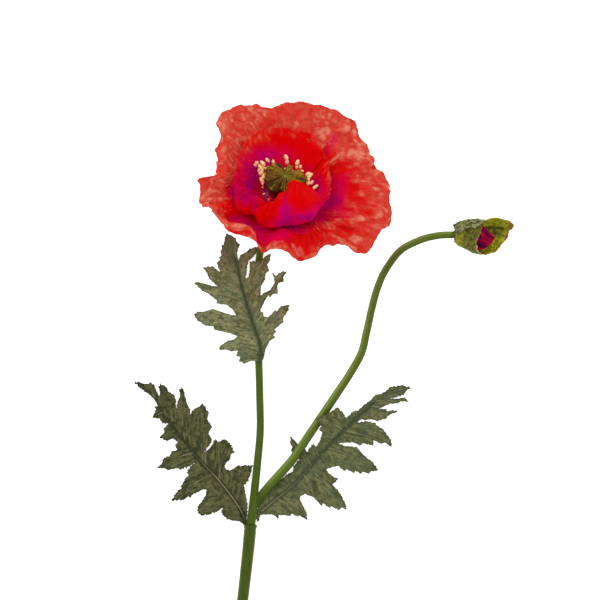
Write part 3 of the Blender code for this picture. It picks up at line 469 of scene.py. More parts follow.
# Folds in the petals as seen from above: x0, y0, x1, y1, half width, height in mm (below 0 a valley).
CREASES = {
    "front": [(286.2, 184, 283, 193, 1.5, 0.9), (286.0, 195, 276, 221, 1.6, 0.55), (287, 196, 302, 221, 1.8, 0.5), (286.5, 199, 290, 222, 2.6, -0.6),
              (297, 206, 318, 200, 2.0, 0.5), (301, 187, 303, 198, 3.0, -0.6), (311, 193, 305, 206, 1.6, 0.5),
              (273, 198, 272, 206, 1.4, 0.5), (265, 207, 263, 219, 2.0, 0.5), (281, 203, 272, 221, 2.0, -0.4)],
    "front_left": [(243, 203, 246, 214, 1.8, 0.6), (250, 200, 252, 214, 2.4, -0.9), (255, 198, 256, 206, 1.4, 0.4)],
    "back": [(258, 131, 262, 147, 1.4, 0.5), (277, 131, 279, 145, 1.2, 0.4), (296, 131, 292, 146, 1.4, 0.4)],
    "left": [(243, 150, 252, 165, 1.2, 0.4), (238, 170, 250, 176, 1.2, 0.4), (238, 192, 248, 187, 1.2, 0.35)],
    "right": [(322, 160, 312, 166, 1.2, 0.35), (326, 178, 316, 178, 1.2, 0.35)],
    "outer_front": [(299, 230, 300, 239, 1.1, 0.7), (307, 238, 306, 247, 1.1, 0.8), (311.5, 231, 313, 240, 0.9, 0.5), (317, 233, 319, 243, 0.9, 0.5),
                    (292, 238, 290, 246, 1.0, 0.5), (285, 243, 296, 231, 1.2, 0.6)],
    "outer_right": [(330, 232, 333, 243, 1.0, 0.5), (309, 221, 345, 246, 1.2, 0.5), (310, 220, 352, 238, 1.2, 0.5), (311, 219, 366, 229, 1.2, 0.5),
                    (312, 218, 372, 219, 1.2, 0.45), (314, 216, 360, 206, 1.2, 0.4), (309, 222, 336, 244, 0.9, -0.5),
                    (310, 221, 349, 242, 0.9, -0.5), (311, 219.6, 360, 233, 0.9, -0.5), (312, 218.6, 370, 224, 0.9, -0.45)],
}


# Paler places on the petals, and redder ones below 0: grid x, grid y, reach across, reach up and down, how much.
GLINTS = [
    (231.5, 116, 7, 5, 0.55), (220, 123, 4, 6, 0.40), (297, 126, 4, 6, 0.60), (293, 107, 8, 3, 0.40), (259.6, 139, 5, 4, 0.55), (320, 144, 4, 4, 0.50),
    (349, 125, 6, 6, 0.50), (334, 113, 7, 3, 0.35), (206, 195, 7, 9, 0.75), (223, 197, 4, 4, 0.45), (324, 205, 4, 2.6, 0.45), (330, 194, 3, 2, 0.35),
    (345, 201, 6, 3, 0.30), (386, 226, 5, 8, 0.35), (376, 198, 9, 4, 0.30), (217, 160, 3, 8, 0.35), (273, 247, 8, 3, 0.60),
    (232, 226, 9, 2.4, 0.35), (245, 230, 7, 2.4, 0.35), (362, 154, 7, 5, 0.30), (328, 173, 0.9, 6, 0.50),
    (268, 123, 9, 6, -0.60), (282, 112, 7, 3, -0.40), (313, 118, 5, 5, -0.40), (357, 188, 8, 5, -0.60), (350, 167, 10, 7, -0.45), (240, 130, 6, 5, -0.35),
    (226, 183, 6, 7, -0.50), (368, 214, 9, 3, -0.35), (340, 233, 12, 3, -0.40), (356, 246, 8, 4, -0.35), (292, 238, 10, 6, -0.60),
]


# Where the colour is painted lighter to cancel the shade in crevices, in the same terms.
BRIGHT = [(246, 211, 11, 7, 0.55), (272, 234, 14, 9, 0.80), (222, 206, 14, 10, 0.40), (222, 165, 9, 22, 0.32), (240, 223, 14, 5, 0.50),
          (322, 212, 10, 7, 0.35), (290, 228, 14, 4, 0.30), (238, 192, 6, 9, 0.25), (257, 219, 7, 5, 0.55), (234, 209, 9, 5, 0.45),
          (267, 228, 10, 4, 0.55), (257, 209, 9, 7, 0.30)]


def glint(points, places=GLINTS):
    x, y = squares(points)
    wx = x + 1.8 * noise(x / 5, y / 5, 21.0)
    wy = y + 1.8 * noise(x / 5, y / 5, 25.0)
    return sum(much * np.exp(-((wx - sx) / rx) ** 2 - ((wy - sy) / ry) ** 2) for sx, sy, rx, ry, much in places)


def petal(name, skin, mid, half, lifts, seed, across, along, look, outer, deep_foot=0.6, tuck=0.0, trims=(0.13, 0.13)):
    s = np.linspace(-1, 1, across + 1)[None, :]
    v = np.linspace(0, 1, along + 1)[:, None] ** 0.92
    s, v = np.broadcast_arrays(s, v)
    widen = 0.90 + 0.10 * np.clip(v * 1.6, 0, 1)
    turn = math.radians(mid) + s * math.radians(half) * widen
    turn = turn + math.radians(tuck) * np.clip(-s, 0, 1) ** 3 * np.sin(math.pi * v)
    vv = v * (1.0 - np.where(s < 0, *trims) * np.abs(s) ** 5)
    base = skin(turn, vv)
    normal = np.cross(np.gradient(base, axis=1), np.gradient(base, axis=0))
    normal /= np.maximum(np.linalg.norm(normal, axis=-1, keepdims=True), 1e-12)
    if (normal * np.array(F_UP)).sum(-1)[: along // 3].mean() < 0:
        normal = -normal
    lift = lifts[0] + (lifts[1] - lifts[0]) * (s + 1) / 2
    # Creases run out from the foot and break up into soft crumples towards the rim.
    round_ = turn * (40.0 if outer else 28.0)
    out = vv * (60.0 if outer else 42.0)
    wx = round_ + 1.6 * noise(round_ / 7, out / 7, seed)
    wy = out + 2.2 * noise(round_ / 6, out / 6, seed + 3.3)
    soft = noise(wx / 4.4, wy / 6.6, seed + 5)
    mid_ = -folds(wx / 2.8, wy / 4.6, seed + 11)
    small = -folds(wx / 1.2, wy / 2.0, seed + 23)
    pleats = folds(turn * (17.0 if outer else 11.0) + 0.8 * noise(out / 20, turn * 3, seed), out / 55, seed + 31)
    blot = layered(wx / 3.4, wy / 4.6, seed + 61, 3)
    streaks = noise(wx / 1.25, wy / 8.5, seed + 71)
    net = np.clip(1 - 6.0 * np.abs(noise(wx / 1.9, wy / 3.3, seed + 81)), 0, 1) * smooth(noise(wx / 9, wy / 9, seed + 91), -0.35, 0.35)
    far = smooth(vv, 0.28, 0.75)
    near = smooth(vv, 0.05, 0.3)
    px, py = squares(base)
    fan = np.exp(-((px - 344) / 30) ** 2 - ((py - 222) / 17) ** 2) if outer else 0.0
    rays = folds(np.arctan2(py - 214, px - 300) * 15 + 0.7 * noise(px / 9, py / 9, 2.2), np.hypot(px - 300, py - 214) / 24, 8.8)
    if outer:
        bump = far * (0.50 * soft + 0.34 * mid_ + 0.14 * small) + near * (0.30 * pleats + 0.06 * small) + 0.45 * fan * rays
        wave = vv ** 5 * (1.3 * noise(turn * 5.4, seed * 1.7) + 0.9 * noise(turn * 11.5, seed * 2.3))
    else:
        bump = far * (0.30 * soft + 0.14 * mid_ + 0.07 * small) + near * (0.26 * pleats + 0.05 * small)
        wave = vv ** 5 * (0.5 * noise(turn * 6.0, seed * 1.7) + 0.35 * noise(turn * 13.0, seed * 2.3))
    lines = 0.0
    for x0, y0, x1, y1, wide, high in CREASES.get(name.replace("inner_", ""), []):
        d, t = off_segment(px + 0.9 * noise(px / 5, py / 5, 4.0), py + 0.9 * noise(px / 5, py / 5, 6.0), x0, y0, x1, y1)
        lines = lines + high * np.exp(-(d / (wide * (0.5 + 0.9 * t))) ** 2 if name == "outer_right" else -(d / wide) ** 2) * smooth(vv, 0.3, 0.55)
    points = base + normal * ((bump + wave - lines - lift) * MM)[..., None]
    points[..., 2] = np.maximum(points[..., 2], 0.25 * MM)
    shine = glint(points)
    # Painted highlights: this mask puts the highlight colour on the crumple crests, the fan's ray crests, the glint
    # spots, thin net lines and raised creases.
    crest = 0.10 + 0.80 * smooth(1.0 * blot + 0.40 * streaks + 0.30 * mid_ + (0.80 * fan * rays if outer else 0.0) + 0.8 * shine, 0.0, 0.72)
    crest = crest + 0.50 * net + 0.60 * np.clip(lines, 0, 1)
    crest = crest * (1 - (0.70 if outer else 0.0) * np.exp(-((px - 301) / 17) ** 2 - ((py - 251) / 10) ** 2))
    deg = np.degrees(turn) % 360
    if outer:
        low, high = np.interp(deg, PALE[:, 0], PALE[:, 1]), np.interp(deg, PALE[:, 0], PALE[:, 2])
        t = np.clip((vv + 0.11 * blot + 0.05 * streaks - low) / (high - low), 0, 1)
        rim = t * t * (3 - 2 * t) * np.clip(0.90 + 0.40 * blot, 0.35, 1.1)
        rim = np.clip(np.maximum(rim, fan * np.clip(0.30 + 0.46 * rays + 0.3 * streaks, 0, 0.8)) + 0.7 * shine, 0, 1.1)
        own = 1 - smooth(vv + 0.06 * noise(round_ / 6, out / 6, seed + 47), 0.18, 0.36)
    else:
        turned = np.exp(-((deg - 170) / 32) ** 2)
        front = "front" in name
        rim = ((0.03 if front else 0.24) - 0.10 * turned) * smooth(vv + 0.14 * blot, 0.86, 1.03) + (0.0 if front else 0.08) * smooth(blot, 0.26, 0.5) * smooth(vv, 0.66, 0.84)
        upper_left = np.exp(-((deg - 146) / 24) ** 2)
        rim = rim + 0.46 * upper_left * smooth(vv + 0.22 * blot, 0.68, 0.94)
        rim = rim + (0.0 if front else 1.0) * np.clip(shine, 0, 1)
        own = 1 - smooth(vv + 0.08 * noise(round_ / 6, out / 6, seed + 47), 0.12, 0.42)
    foot = 1 - (1 - deep_foot * own) * (1 - stain(points))
    foot = foot * (1 - (0.9 if outer else 0.0 if "left" in name else 0.5) * smooth(vv, 0.86, 0.96))
    sides = 1 - np.abs(s)
    edge = np.maximum(smooth(vv, 0.985, 1.0) * (1.0 if outer else 0.15), 0.12 * (1 - smooth(sides, 0.0, 0.010)))
    # On the outer petals the edge mask also carries painted shade: the fan's ray valleys, the crease valleys and
    # wrinkle lines near the rim.
    if outer:
        edge = np.maximum(edge, 1.1 * fan * smooth(-rays, 0.05, 0.9) + 0.5 * np.clip(-lines, 0, 1))
        wrinkles = np.maximum(smooth(folds(wx / 3.0, wy / 10.0, seed + 51), 0.52, 0.98), 0.8 * smooth(folds(wx / 7.0, wy / 3.8, seed + 53), 0.60, 0.98))
        edge = np.maximum(edge, 0.78 * np.clip(rim, 0, 1) * wrinkles * smooth(noise(wx / 10, wy / 12, seed + 57), -0.5, 0.2))
    obj = Mesh("petal_" + name).add(points, rim=rim, foot=foot, crest=np.clip(crest, 0, 1), edge=edge, bright=glint(points, BRIGHT)).object()
    thicken(obj, 0.22)
    kind, _, rest = name.partition("_")
    return put(obj, [f"{kind}_petal_{rest}"], look)


# The third colour of each petal look is its painted highlight.
RED, SALMON, LIGHT = (0.650, 0.003, 0.003), (0.612, 0.050, 0.029), (0.735, 0.225, 0.142)
MAGENTA, PURPLE, DEEP = (0.640, 0.0002, 0.062), (0.460, 0.0002, 0.150), (0.300, 0.0002, 0.180)
petal_look = petal_material("petal_crepe", RED, SALMON, LIGHT, MAGENTA, PURPLE, DEEP)
inner_look = petal_material("petal_silk", (0.680, 0.0003, 0.0015), (0.66, 0.030, 0.014), (0.76, 0.17, 0.10), MAGENTA, PURPLE, DEEP)

for name, mid, half in (("top_right", 61, 47), ("top_left", 145.5, 49), ("left", 221, 46), ("front", 283, 29), ("right", 340, 52)):
    reach = 0.18 * half / 45
    petal("outer_" + name, outer_skin, mid, half, (-reach, reach), 3.0, int(170 * FINER * half / 50), int(100 * FINER), petal_look, True)
for name, mid, half, lifts, rows, swell, less, deep, tuck, wide, trims in (
        ("back", 88, 50, (-0.35, 0.35), INNER_RIM, 0, 10, 0.35, 0, 0.75, (0.13, 0.13)),
        ("left", 166, 47, (-0.35, 0.35), INNER_RIM, 0, 10, 0.6, 0, 0.75, (0.13, 0.13)),
        ("front_left", 222, 27, (-0.7, -1.3), FRONT_LEFT_RIM, 3, 11, 0.45, 0, 0.75, (0.13, 0.04)),
        ("front", 280.5, 40.5, (0.9, 0.7), FRONT_RIM, 10, 16, 0.45, 6, 0.58, (0.02, 0.13)),
        ("right", 2, 52, (-0.35, 0.35), INNER_RIM, 0, 10, 0.45, 0, 0.75, (0.13, 0.13))):
    petal("inner_" + name, inner_skin_of(rows, swell, less, wide), mid, half, lifts, 60.0, int(120 * FINER), int(75 * FINER), inner_look, False, deep, tuck, trims)

# ============================================================ disc and capsule
def from_axis(turn, r, h):
    """Points about the disc's own axis, a little aside from the flower's."""
    return in_flower(turn, r, h) + np.array(F_E1) * DISC_SHIFT * MM


DISC_RIM = [
    (268.0, 165.6, 21), (270.5, 164.2, 21.5), (276.4, 162.0, 21.5), (281.0, 162.4, 21.5), (283.2, 165.8, 22), (284.4, 169.2, 22.6),
    (286.0, 167.2, 22.2), (287.4, 164.4, 21.6), (290.4, 163.8, 21.4), (293.0, 165.8, 21.5), (292.4, 169.0, 22.0), (290.3, 171.4, 22.6),
    (293.6, 170.8, 22.2), (297.5, 169.2, 21.5), (300.8, 170.2, 21.0), (302.2, 173.6, 21.0), (304.2, 177.2, 20.4), (306.4, 179.4, 20.0),
    (304.0, 182.6, 20.4), (299.6, 181.4, 21.4), (301.5, 187.0, 20.4), (298.0, 190.8, 20.0), (293.4, 190.6, 20.6), (291.6, 186.6, 21.6),
    (289.6, 190.8, 20.6), (285.6, 192.4, 20.0), (282.2, 190.6, 20.6), (280.6, 187.6, 21.4), (277.4, 191.8, 20.4), (272.0, 191.2, 20.0),
    (268.4, 188.0, 20.0), (266.2, 184.6, 20.2), (268.8, 181.0, 21.4), (265.6, 179.6, 20.6), (265.4, 175.0, 20.8), (268.8, 172.6, 21.8),
    (266.4, 169.0, 21.0),
]
DISC_MID = np.array(plan(285.6, 175.6, 31.5 + 23.6 * F_UP.z + 22.4 * F_E2.z * 0.55))


def disc_in_plane(x, y, h):
    """Offsets across the disc, in mm, of the point seen over a grid square at height h along the axis."""
    z = FLOWER_AT[2]
    for _ in range(6):
        d = (Vector(plan(x, y, z)) - F_ORG) / MM - F_UP * h
        a = d.x / F_E1.x
        b = (d.y - a * F_E1.y) / F_E2.y
        z = FLOWER_AT[2] + a * F_E1.z + b * F_E2.z + h * F_UP.z
    return a, b


mid_a, mid_b = disc_in_plane(285.6, 175.8, 23.6)
spokes = []
for x, y, h in DISC_RIM:
    a, b = disc_in_plane(x, y, h)
    spokes.append((math.atan2(b - mid_b, a - mid_a) % (2 * math.pi), math.hypot(a - mid_a, b - mid_b), h))
spokes = np.array(sorted(spokes))


def disc_rim(turn):
    t = np.concatenate([spokes[:, 0] - 2 * math.pi, spokes[:, 0], spokes[:, 0] + 2 * math.pi])
    r = sum(np.interp((turn + k) % (2 * math.pi), t, np.tile(spokes[:, 1], 3)) for k in (-0.05, -0.02, 0, 0.02, 0.05)) / 5
    return r


sectors, rings = int(300 * FINER), int(36 * FINER)
turn = np.linspace(0, 2 * math.pi, sectors, endpoint=False)[None, :]
q = np.concatenate([np.linspace(0.002, 1, rings), [1.02, 1.0, 0.93, 0.75, 0.5, 0.002]])[:, None]
q, turn = np.broadcast_arrays(q, turn)
under = np.arange(q.shape[0])[:, None] >= rings
rim_r = disc_rim(turn)
lobes = 1.0 - np.abs(np.cos(turn * 9 / 2 + 0.4))
veins = folds(turn * 9.5 + 0.5 * noise(q * 3, turn * 4, 2.0), q * 1.2, 4.0)
fine_veins = folds(turn * 26, q * 2.5, 9.0)
r = rim_r * q
h = 24.2 - 3.4 * q ** 1.6 - 0.9 * np.exp(-(q / 0.16) ** 2)
ridge = smooth(q, 0.05, 0.3) * (0.55 * veins + 0.22 * fine_veins)
curl = 0.9 * np.clip(q, 0, 1) ** 3 * noise(turn * 2.6, 1.5)
top = h + ridge + curl
below = 24.2 - 3.4 * q ** 1.6 - 1.6 + curl - 1.2 * (1 - q)
h = np.where(under, below, top)
a = mid_a + r * np.cos(turn)
b = mid_b + r * np.sin(turn)
disc_points = (np.array(F_ORG) + (a * MM)[..., None] * np.array(F_E1) + (b * MM)[..., None] * np.array(F_E2)
               + (h * MM)[..., None] * np.array(F_UP))
# Painted shade: dark under the disc and in the troughs between its ridges.
groove = np.where(under, 0.8, np.clip(0.5 - 0.55 * veins - 0.2 * fine_veins, 0, 1) * smooth(q, 0.04, 0.35))
centre = np.exp(-(q / 0.33) ** 2)

disc_look, dt, db = material("stigma_velvet")
at = place(dt)
mottle = noise_of(dt, at, 700.0, 4.0, 0.6)
colour = blend(dt, spread(dt, mottle, 0.38, 0.62), (0.150, 0.074, 0.003), (0.400, 0.226, 0.008))
colour = blend(dt, mask(dt, "centre"), colour, (0.19, 0.17, 0.020))
colour = blend(dt, mask(dt, "brown"), colour, (0.075, 0.036, 0.004))
# Painted shade in the troughs and under the disc.
colour = blend(dt, spread(dt, mask(dt, "groove"), 0.25, 0.95), colour, (0.040, 0.018, 0.002))
dt.links.new(colour, db.inputs["Base Color"])
db.inputs["Roughness"].default_value = 0.8
db.inputs["Specular IOR Level"].default_value = 0.15
raise_by(dt, db, mottle, 0.0002, 0.6)
brown = smooth(-np.cos(turn - 0.5), 0.0, 1.0) * smooth(q, 0.1, 0.5) * (0.55 + 0.35 * noise(turn * 6, q * 5, 2.0))
put(Mesh("stigma_disc_lobed").add(disc_points, wrap=True, groove=groove, centre=centre, brown=np.clip(brown, 0, 1)).object(), ["stigma_disc"], disc_look)

rows = np.array(through([(0.05, 20.6, 0), (3.0, 20.8, 0), (5.6, 19.6, 0), (6.9, 17.2, 0), (7.0, 14.0, 0), (6.0, 10.0, 0),
                         (4.2, 7.0, 0), (3.0, 5.0, 0), (3.2, 3.0, 0), (3.5, 0.2, 0), (0.05, 0.1, 0)], int(70 * FINE)))
turn = np.linspace(0, 2 * math.pi, int(110 * FINE), endpoint=False)[None, :]
rr, hh = rows[:, :1], rows[:, 1:2]
wave = 1 + 0.055 * np.cos(9 * turn) * np.clip(rr / 5, 0, 1) + 0.01 * noise(turn * 9, hh)
capsule = in_flower(turn, rr * wave, hh + 0 * turn) + np.array(F_E1) * (DISC_SHIFT / 2) * MM
# Painted shade in the troughs between the capsule's ribs.
put(Mesh("seed_capsule_ribbed").add(capsule, wrap=True, flip=True, groove=np.clip(0.5 - 0.5 * np.cos(9 * turn), 0, 1) * 0.5 + 0 * rr,
                                    centre=0.4, brown=0.2).object(), ["seed_capsule"], disc_look)

rows = np.array(through([(0.05, -0.3, 0), (4.2, -0.3, 0), (5.3, -0.9, 0), (6.0, -2.4, 0), (6.3, -3.6, 0), (5.8, -4.8, 0), (4.4, -6.2, 0),
                         (3.2, -7.6, 0), (2.6, -8.3, 0), (0.05, -8.35, 0)], int(50 * FINE)))
turn = np.linspace(0, 2 * math.pi, int(90 * FINE), endpoint=False)[None, :]
rr, hh = rows[:, :1], rows[:, 1:2]
cup = in_flower(turn, rr * (1 + 0.03 * np.cos(11 * turn) + 0.02 * noise(turn * 5, hh / 2)), hh + 0 * turn)

# ==================================================================== the stems
stem_look, st, sb = material("stem_skin")
at = place(st)
streak_place = st.nodes.new("ShaderNodeMapping")
streak_place.inputs["Scale"].default_value = (1.0, 0.22, 1.0)
st.links.new(at, streak_place.inputs["Vector"])
streaks = noise_of(st, streak_place.outputs["Vector"], 520.0, 3.0, 0.6)
speck = noise_of(st, at, 1500.0, 2.0, 0.5)
colour = blend(st, spread(st, streaks, 0.36, 0.64), (0.038, 0.062, 0.004), (0.057, 0.084, 0.007))
colour = blend(st, mask(st, "pale"), colour, (0.122, 0.172, 0.015))
# Painted shade on one side of the stems and painted highlights along their sides.
colour = blend(st, mask(st, "flank"), colour, (0.022, 0.038, 0.004))
colour = blend(st, mask(st, "glow"), colour, (0.240, 0.330, 0.072))
colour = blend(st, spread(st, speck, 0.5, 0.8, 0.0, 0.25), colour, (0.035, 0.055, 0.006))
colour = blend(st, mask(st, "inside"), colour, (0.110, 0.004, 0.036))
st.links.new(colour, sb.inputs["Base Color"])
sb.inputs["Roughness"].default_value = 0.5
sb.inputs["Specular IOR Level"].default_value = 0.10
raise_by(st, sb, streaks, 0.00012, 0.4)

STEM_LINE = [(230.4, 740, 3.5, 3.35), (233.6, 700, 3.5, 3.4), (239, 640, 3.52, 3.45),
             (243.2, 600, 3.55, 3.5), (247.2, 560, 3.7, 3.65), (250.4, 524.3, 3.95, 3.85)]
STALK_LINE = [(250.75, 524.35, 4.2, 2.8), (251.3, 520.5, 4.3, 2.7), (252.3, 514, 4.3, 2.6), (254.7, 490, 4.2, 2.3), (257.8, 460, 3.8, 2.15),
              (260.3, 430, 3.4, 2.05), (259.8, 395, 3.2, 2.0), (258.9, 362, 3.2, 2.0), (257.4, 320, 3.3, 2.0),
              (257.3, 290, 3.4, 2.05), (258.6, 264, 3.8, 2.1), (262.6, 243, 6.4, 2.15),
              (270.5, 226, 12.2, 2.2), (277.0, 214.2, 19.0, 2.25), (280.65, 206.6, 24.85, 2.3)]
BUD_LINE = [(252.6, 508.6, 2.7, 1.9), (255.0, 504.5, 2.9, 2.2), (258.4, 498.8, 3.3, 2.4), (268.5, 486.4, 5.4, 2.5), (280.1, 473.2, 7.4, 2.5),
            (292.1, 459.4, 8.9, 2.45), (299.3, 448.9, 9.6, 2.4), (306.4, 438, 10.2, 2.4), (320.7, 416.6, 10.8, 2.35),
            (335, 395.2, 11.1, 2.3), (349.3, 373.8, 11.4, 2.2), (360.9, 353.2, 11.6, 2.15), (367.1, 331.8, 11.7, 2.1),
            (372, 309.5, 11.8, 2.05), (377.9, 288, 11.9, 2.0), (387.1, 267.5, 11.9, 2.0), (401.1, 249.3, 11.9, 2.0),
            (420.7, 238.9, 11.9, 1.98), (438.6, 234.9, 11.9, 1.95), (452.6, 234.6, 11.9, 1.95)]


def stalk(name, rows, count, sides, replaced, pale, shine, collar=None):
    line = through(rows, count)
    if pale > 0.3:
        line[:, 3] *= 1.12
        line[:, 0] += np.interp(line[:, 1], [262, 275, 335, 350, 400, 500], [0.1, -0.5, -0.5, 0.3, 0.7, 0.3])
        line[:, 1] += np.interp(line[:, 0], [390, 408, 425, 450], [0.2, 0.9, 0.9, 0.3])
    elif name.startswith("flower"):
        line[:, 3] *= np.interp(line[:, 1], [300, 365, 440, 500], [1.08, 1.15, 1.15, 1.08])
        line[:, 0] -= 0.1
    else:
        line[:, 0] += np.interp(line[:, 1], [545, 600], [0.15, -0.55])
    centres = plan(line[:, 0], line[:, 1], line[:, 2])
    run = np.concatenate([[0], np.cumsum(np.linalg.norm(np.diff(centres, axis=0), axis=1))]) / MM
    a = np.linspace(0, 2 * math.pi, sides, endpoint=False)[None, :]
    r = line[:, 3:4] * (1 + 0.012 * noise(run[:, None] / 9, np.cos(a) * 1.5, np.sin(a) * 1.5)
                        + 0.008 * np.cos(6 * a + run[:, None] / 60))
    if collar:
        for at_mm, wide, high in collar:
            r = r + high * np.exp(-((run[:, None] - (at_mm if at_mm >= 0 else run[-1] + at_mm)) / wide) ** 2)
    points, angle = tube_points(centres, r, sides)
    # Painted shade darkens the right flank; a painted highlight strip runs along the other side, and on the plain
    # stalks a fainter painted highlight runs along both sides.
    flank = 0.85 * smooth(np.sin(angle), 0.30, 0.95) * smooth(-np.abs(angle - 0.5 * math.pi), -1.2, -0.4) + 0.30 * smooth(-np.sin(angle), 0.80, 1.0)
    strip = np.exp(-((angle + math.pi) % (2 * math.pi) - math.pi + 0.66) ** 2 / 0.16) * (0.7 + 0.3 * noise(run[:, None] / 14, 3.0))
    rims = smooth(np.abs(np.sin(angle)), 0.72, 1.0)
    # Painted shade and light: the bud stalk is painted darker near its foot, where the flower stalk shades it, and the
    # flower stalk is painted paler near its top, against the flower's shadow.
    if pale > 0.3:
        pale = pale * smooth(run[:, None], 2.0, 26.0)
        strip = strip * smooth(run[:, None], 4.0, 30.0)
    elif name.startswith("flower"):
        pale = pale + 0.12 + 0.55 * smooth(run[:, None], 138.0, 172.0)
    body = Mesh(name).add(points, wrap=True, caps=True, flank=np.clip(flank * (1 - 0.6 * (1 - shine)), 0, 1) + 0 * r, glow=np.clip(shine * strip + (1 - shine) * 0.34 * rims, 0, 1),
                          pale=pale + 0.10 * noise(run[:, None] / 11, np.sin(angle)), inside=0.0)
    return put(body.object(), replaced, stem_look)


stalk("main_stem_skin", STEM_LINE, int(160 * FINER), 28, ["main_stem"], 0.10, 0.0, collar=[(-1.0, 0.8, 0.35), (-3.2, 0.5, -0.18)])
stalk("flower_stalk_skin", STALK_LINE, int(260 * FINER), 24, ["flower_stalk"], 0.14, 0.0)
stalk("bud_stalk_skin", BUD_LINE, int(260 * FINER), 24, ["bud_stalk"], 0.55, 0.85)
# Its top, between the feet of the petals, takes the petals' dark purple.
put(Mesh("receptacle_cup").add(cup, wrap=True, flip=True, flank=0.3, glow=0.15, pale=0.3, inside=smooth(hh, -1.5, -0.9) + 0 * turn).object(),
    ["receptacle"], stem_look)


# =================================================================== the leaves
LEFT = dict(
    origin=(130.0, 375.0), unit=1 / 10.116,
    outline=[(1184, 1524), (1150, 1508), (1112, 1480), (1020, 1466), (985, 1456), (935, 1410), (930, 1370), (950, 1330),
             (880, 1380), (795, 1410), (720, 1420), (680, 1370), (690, 1330), (740, 1260), (770, 1215), (778, 1160),
             (740, 1155), (690, 1180), (640, 1200), (605, 1240), (590, 1225), (540, 1260), (480, 1265), (420, 1270),
             (450, 1220), (488, 1167), (525, 1150), (518, 1125), (560, 1050), (600, 1010), (580, 985), (610, 930),
             (655, 890), (600, 920), (510, 955), (480, 940), (385, 960), (360, 945), (275, 938), (320, 900),
             (345, 838), (400, 825), (425, 775), (480, 760), (460, 710), (490, 680), (435, 640), (370, 665),
             (300, 632), (350, 580), (340, 545), (395, 490), (330, 485), (300, 440), (228, 430), (265, 350),
             (250, 325), (285, 310), (250, 250), (190, 190), (120, 142), (88, 115), (42, 64), (95, 76), (140, 90),
             (190, 90), (210, 75), (245, 110), (270, 170), (300, 225), (305, 170), (290, 115), (310, 90),
             (350, 110), (390, 170), (440, 200), (462, 250), (460, 300), (472, 340), (485, 270), (510, 210),
             (500, 160), (520, 120), (545, 165), (555, 220), (580, 300), (605, 350), (608, 420), (630, 365),
             (665, 342), (700, 320), (735, 290), (795, 380), (780, 450), (828, 525), (790, 590), (825, 650),
             (800, 710), (742, 785), (790, 760), (840, 700), (860, 650), (890, 680), (960, 650), (1010, 690),
             (1055, 780), (1015, 810), (1010, 850), (970, 890), (955, 930), (975, 960), (1010, 970), (1050, 950),
             (1090, 920), (1160, 915), (1240, 916), (1230, 951), (1214, 1012), (1193, 1072),
             (1151, 1111), (1158, 1160), (1170, 1227), (1186, 1305), (1184, 1416), (1178, 1480)],
    midrib=[(1166, 1490, 4.4), (1136, 1400, 6.1), (1072, 1290, 8.2), (960, 1140, 10.5), (850, 1010, 11.5),
            (760, 920, 11.5), (660, 810, 11.0), (560, 670, 9.6), (450, 560, 8.0), (370, 440, 6.4), (290, 310, 4.6),
            (180, 170, 2.6), (64, 80, 0.9)],
    teeth=0.95, fold=0.16, droop=0.0062,
    swells=[(1190, 980, 120, -2.2), (470, 1230, 150, -3.0), (730, 1360, 130, -2.0), (740, 380, 150, 2.5),
            (330, 930, 120, -2.2), (990, 720, 110, 1.6), (520, 150, 90, 2.0)],
)
RIGHT = dict(
    origin=(250.0, 380.0), unit=1 / 9.503,
    outline=[(62, 1246), (60, 1302), (67, 1352), (86, 1326), (99, 1280), (200, 1275), (240, 1290), (262, 1318), (275, 1280), (380, 1290), (400, 1270), (450, 1295),
             (470, 1285), (545, 1330), (535, 1260), (500, 1190), (470, 1130), (480, 1100), (520, 1080), (600, 1110),
             (640, 1150), (682, 1200), (690, 1165), (755, 1215), (770, 1195), (845, 1235), (870, 1210), (920, 1230),
             (905, 1180), (870, 1105), (835, 1050), (800, 1015), (780, 990), (840, 940), (790, 920), (740, 880),
             (722, 848), (780, 825), (840, 815), (895, 862), (920, 845), (985, 882), (1000, 860), (1055, 890),
             (1070, 870), (1130, 888), (1150, 865), (1218, 858), (1165, 780), (1120, 750), (1065, 700), (1015, 640),
             (960, 635), (900, 630), (832, 600), (900, 595), (980, 590), (1040, 618), (1080, 600), (1170, 622),
             (1172, 570), (1250, 605), (1280, 590), (1345, 638), (1340, 570), (1300, 520), (1265, 470),
             (1200, 430), (1190, 410), (1110, 395), (1060, 400), (1010, 408), (1050, 375), (1090, 378), (1150, 370),
             (1210, 388), (1290, 365), (1310, 340), (1350, 318), (1405, 298), (1350, 290), (1310, 300), (1290, 280),
             (1215, 275), (1280, 245), (1330, 225), (1400, 220), (1430, 200), (1508, 205), (1465, 170), (1400, 180),
             (1310, 178), (1390, 160), (1460, 138), (1482, 106), (1494, 90), (1532, 76), (1450, 50), (1330, 68),
             (1290, 110), (1240, 135), (1195, 140), (1150, 190), (1080, 240), (1030, 290), (980, 300), (940, 340),
             (915, 365), (880, 310), (830, 262), (790, 290), (720, 330), (640, 362), (650, 400), (685, 440),
             (660, 465), (690, 500), (670, 570), (630, 640), (600, 612), (565, 650), (545, 690), (520, 660),
             (455, 610), (385, 538), (385, 600), (405, 640), (392, 670), (440, 730), (470, 760), (455, 770),
             (415, 820), (410, 870), (350, 900), (280, 960), (212, 1030), (165, 1080), (120, 1140), (84, 1195)],
    midrib=[(104, 1250, 2.0), (250, 1130, 2.2), (400, 1010, 3.4), (520, 880, 4.9), (640, 740, 6.9), (760, 610, 9.4),
            (880, 490, 11.6), (1010, 360, 12.4), (1100, 290, 11.6), (1200, 200, 9.8), (1330, 120, 7.0),
            (1510, 76, 2.6)],
    teeth=0.75, fold=0.03, droop=0.0035, rib_shade=0.40,
    swells=[(700, 370, 130, 11.5), (420, 620, 100, -1.0), (520, 1290, 140, 1.5), (900, 1210, 150, -1.0),
            (1200, 850, 150, -4.0), (1330, 610, 130, -5.0), (1400, 300, 90, -3.0), (1490, 200, 90, -3.2)],
)
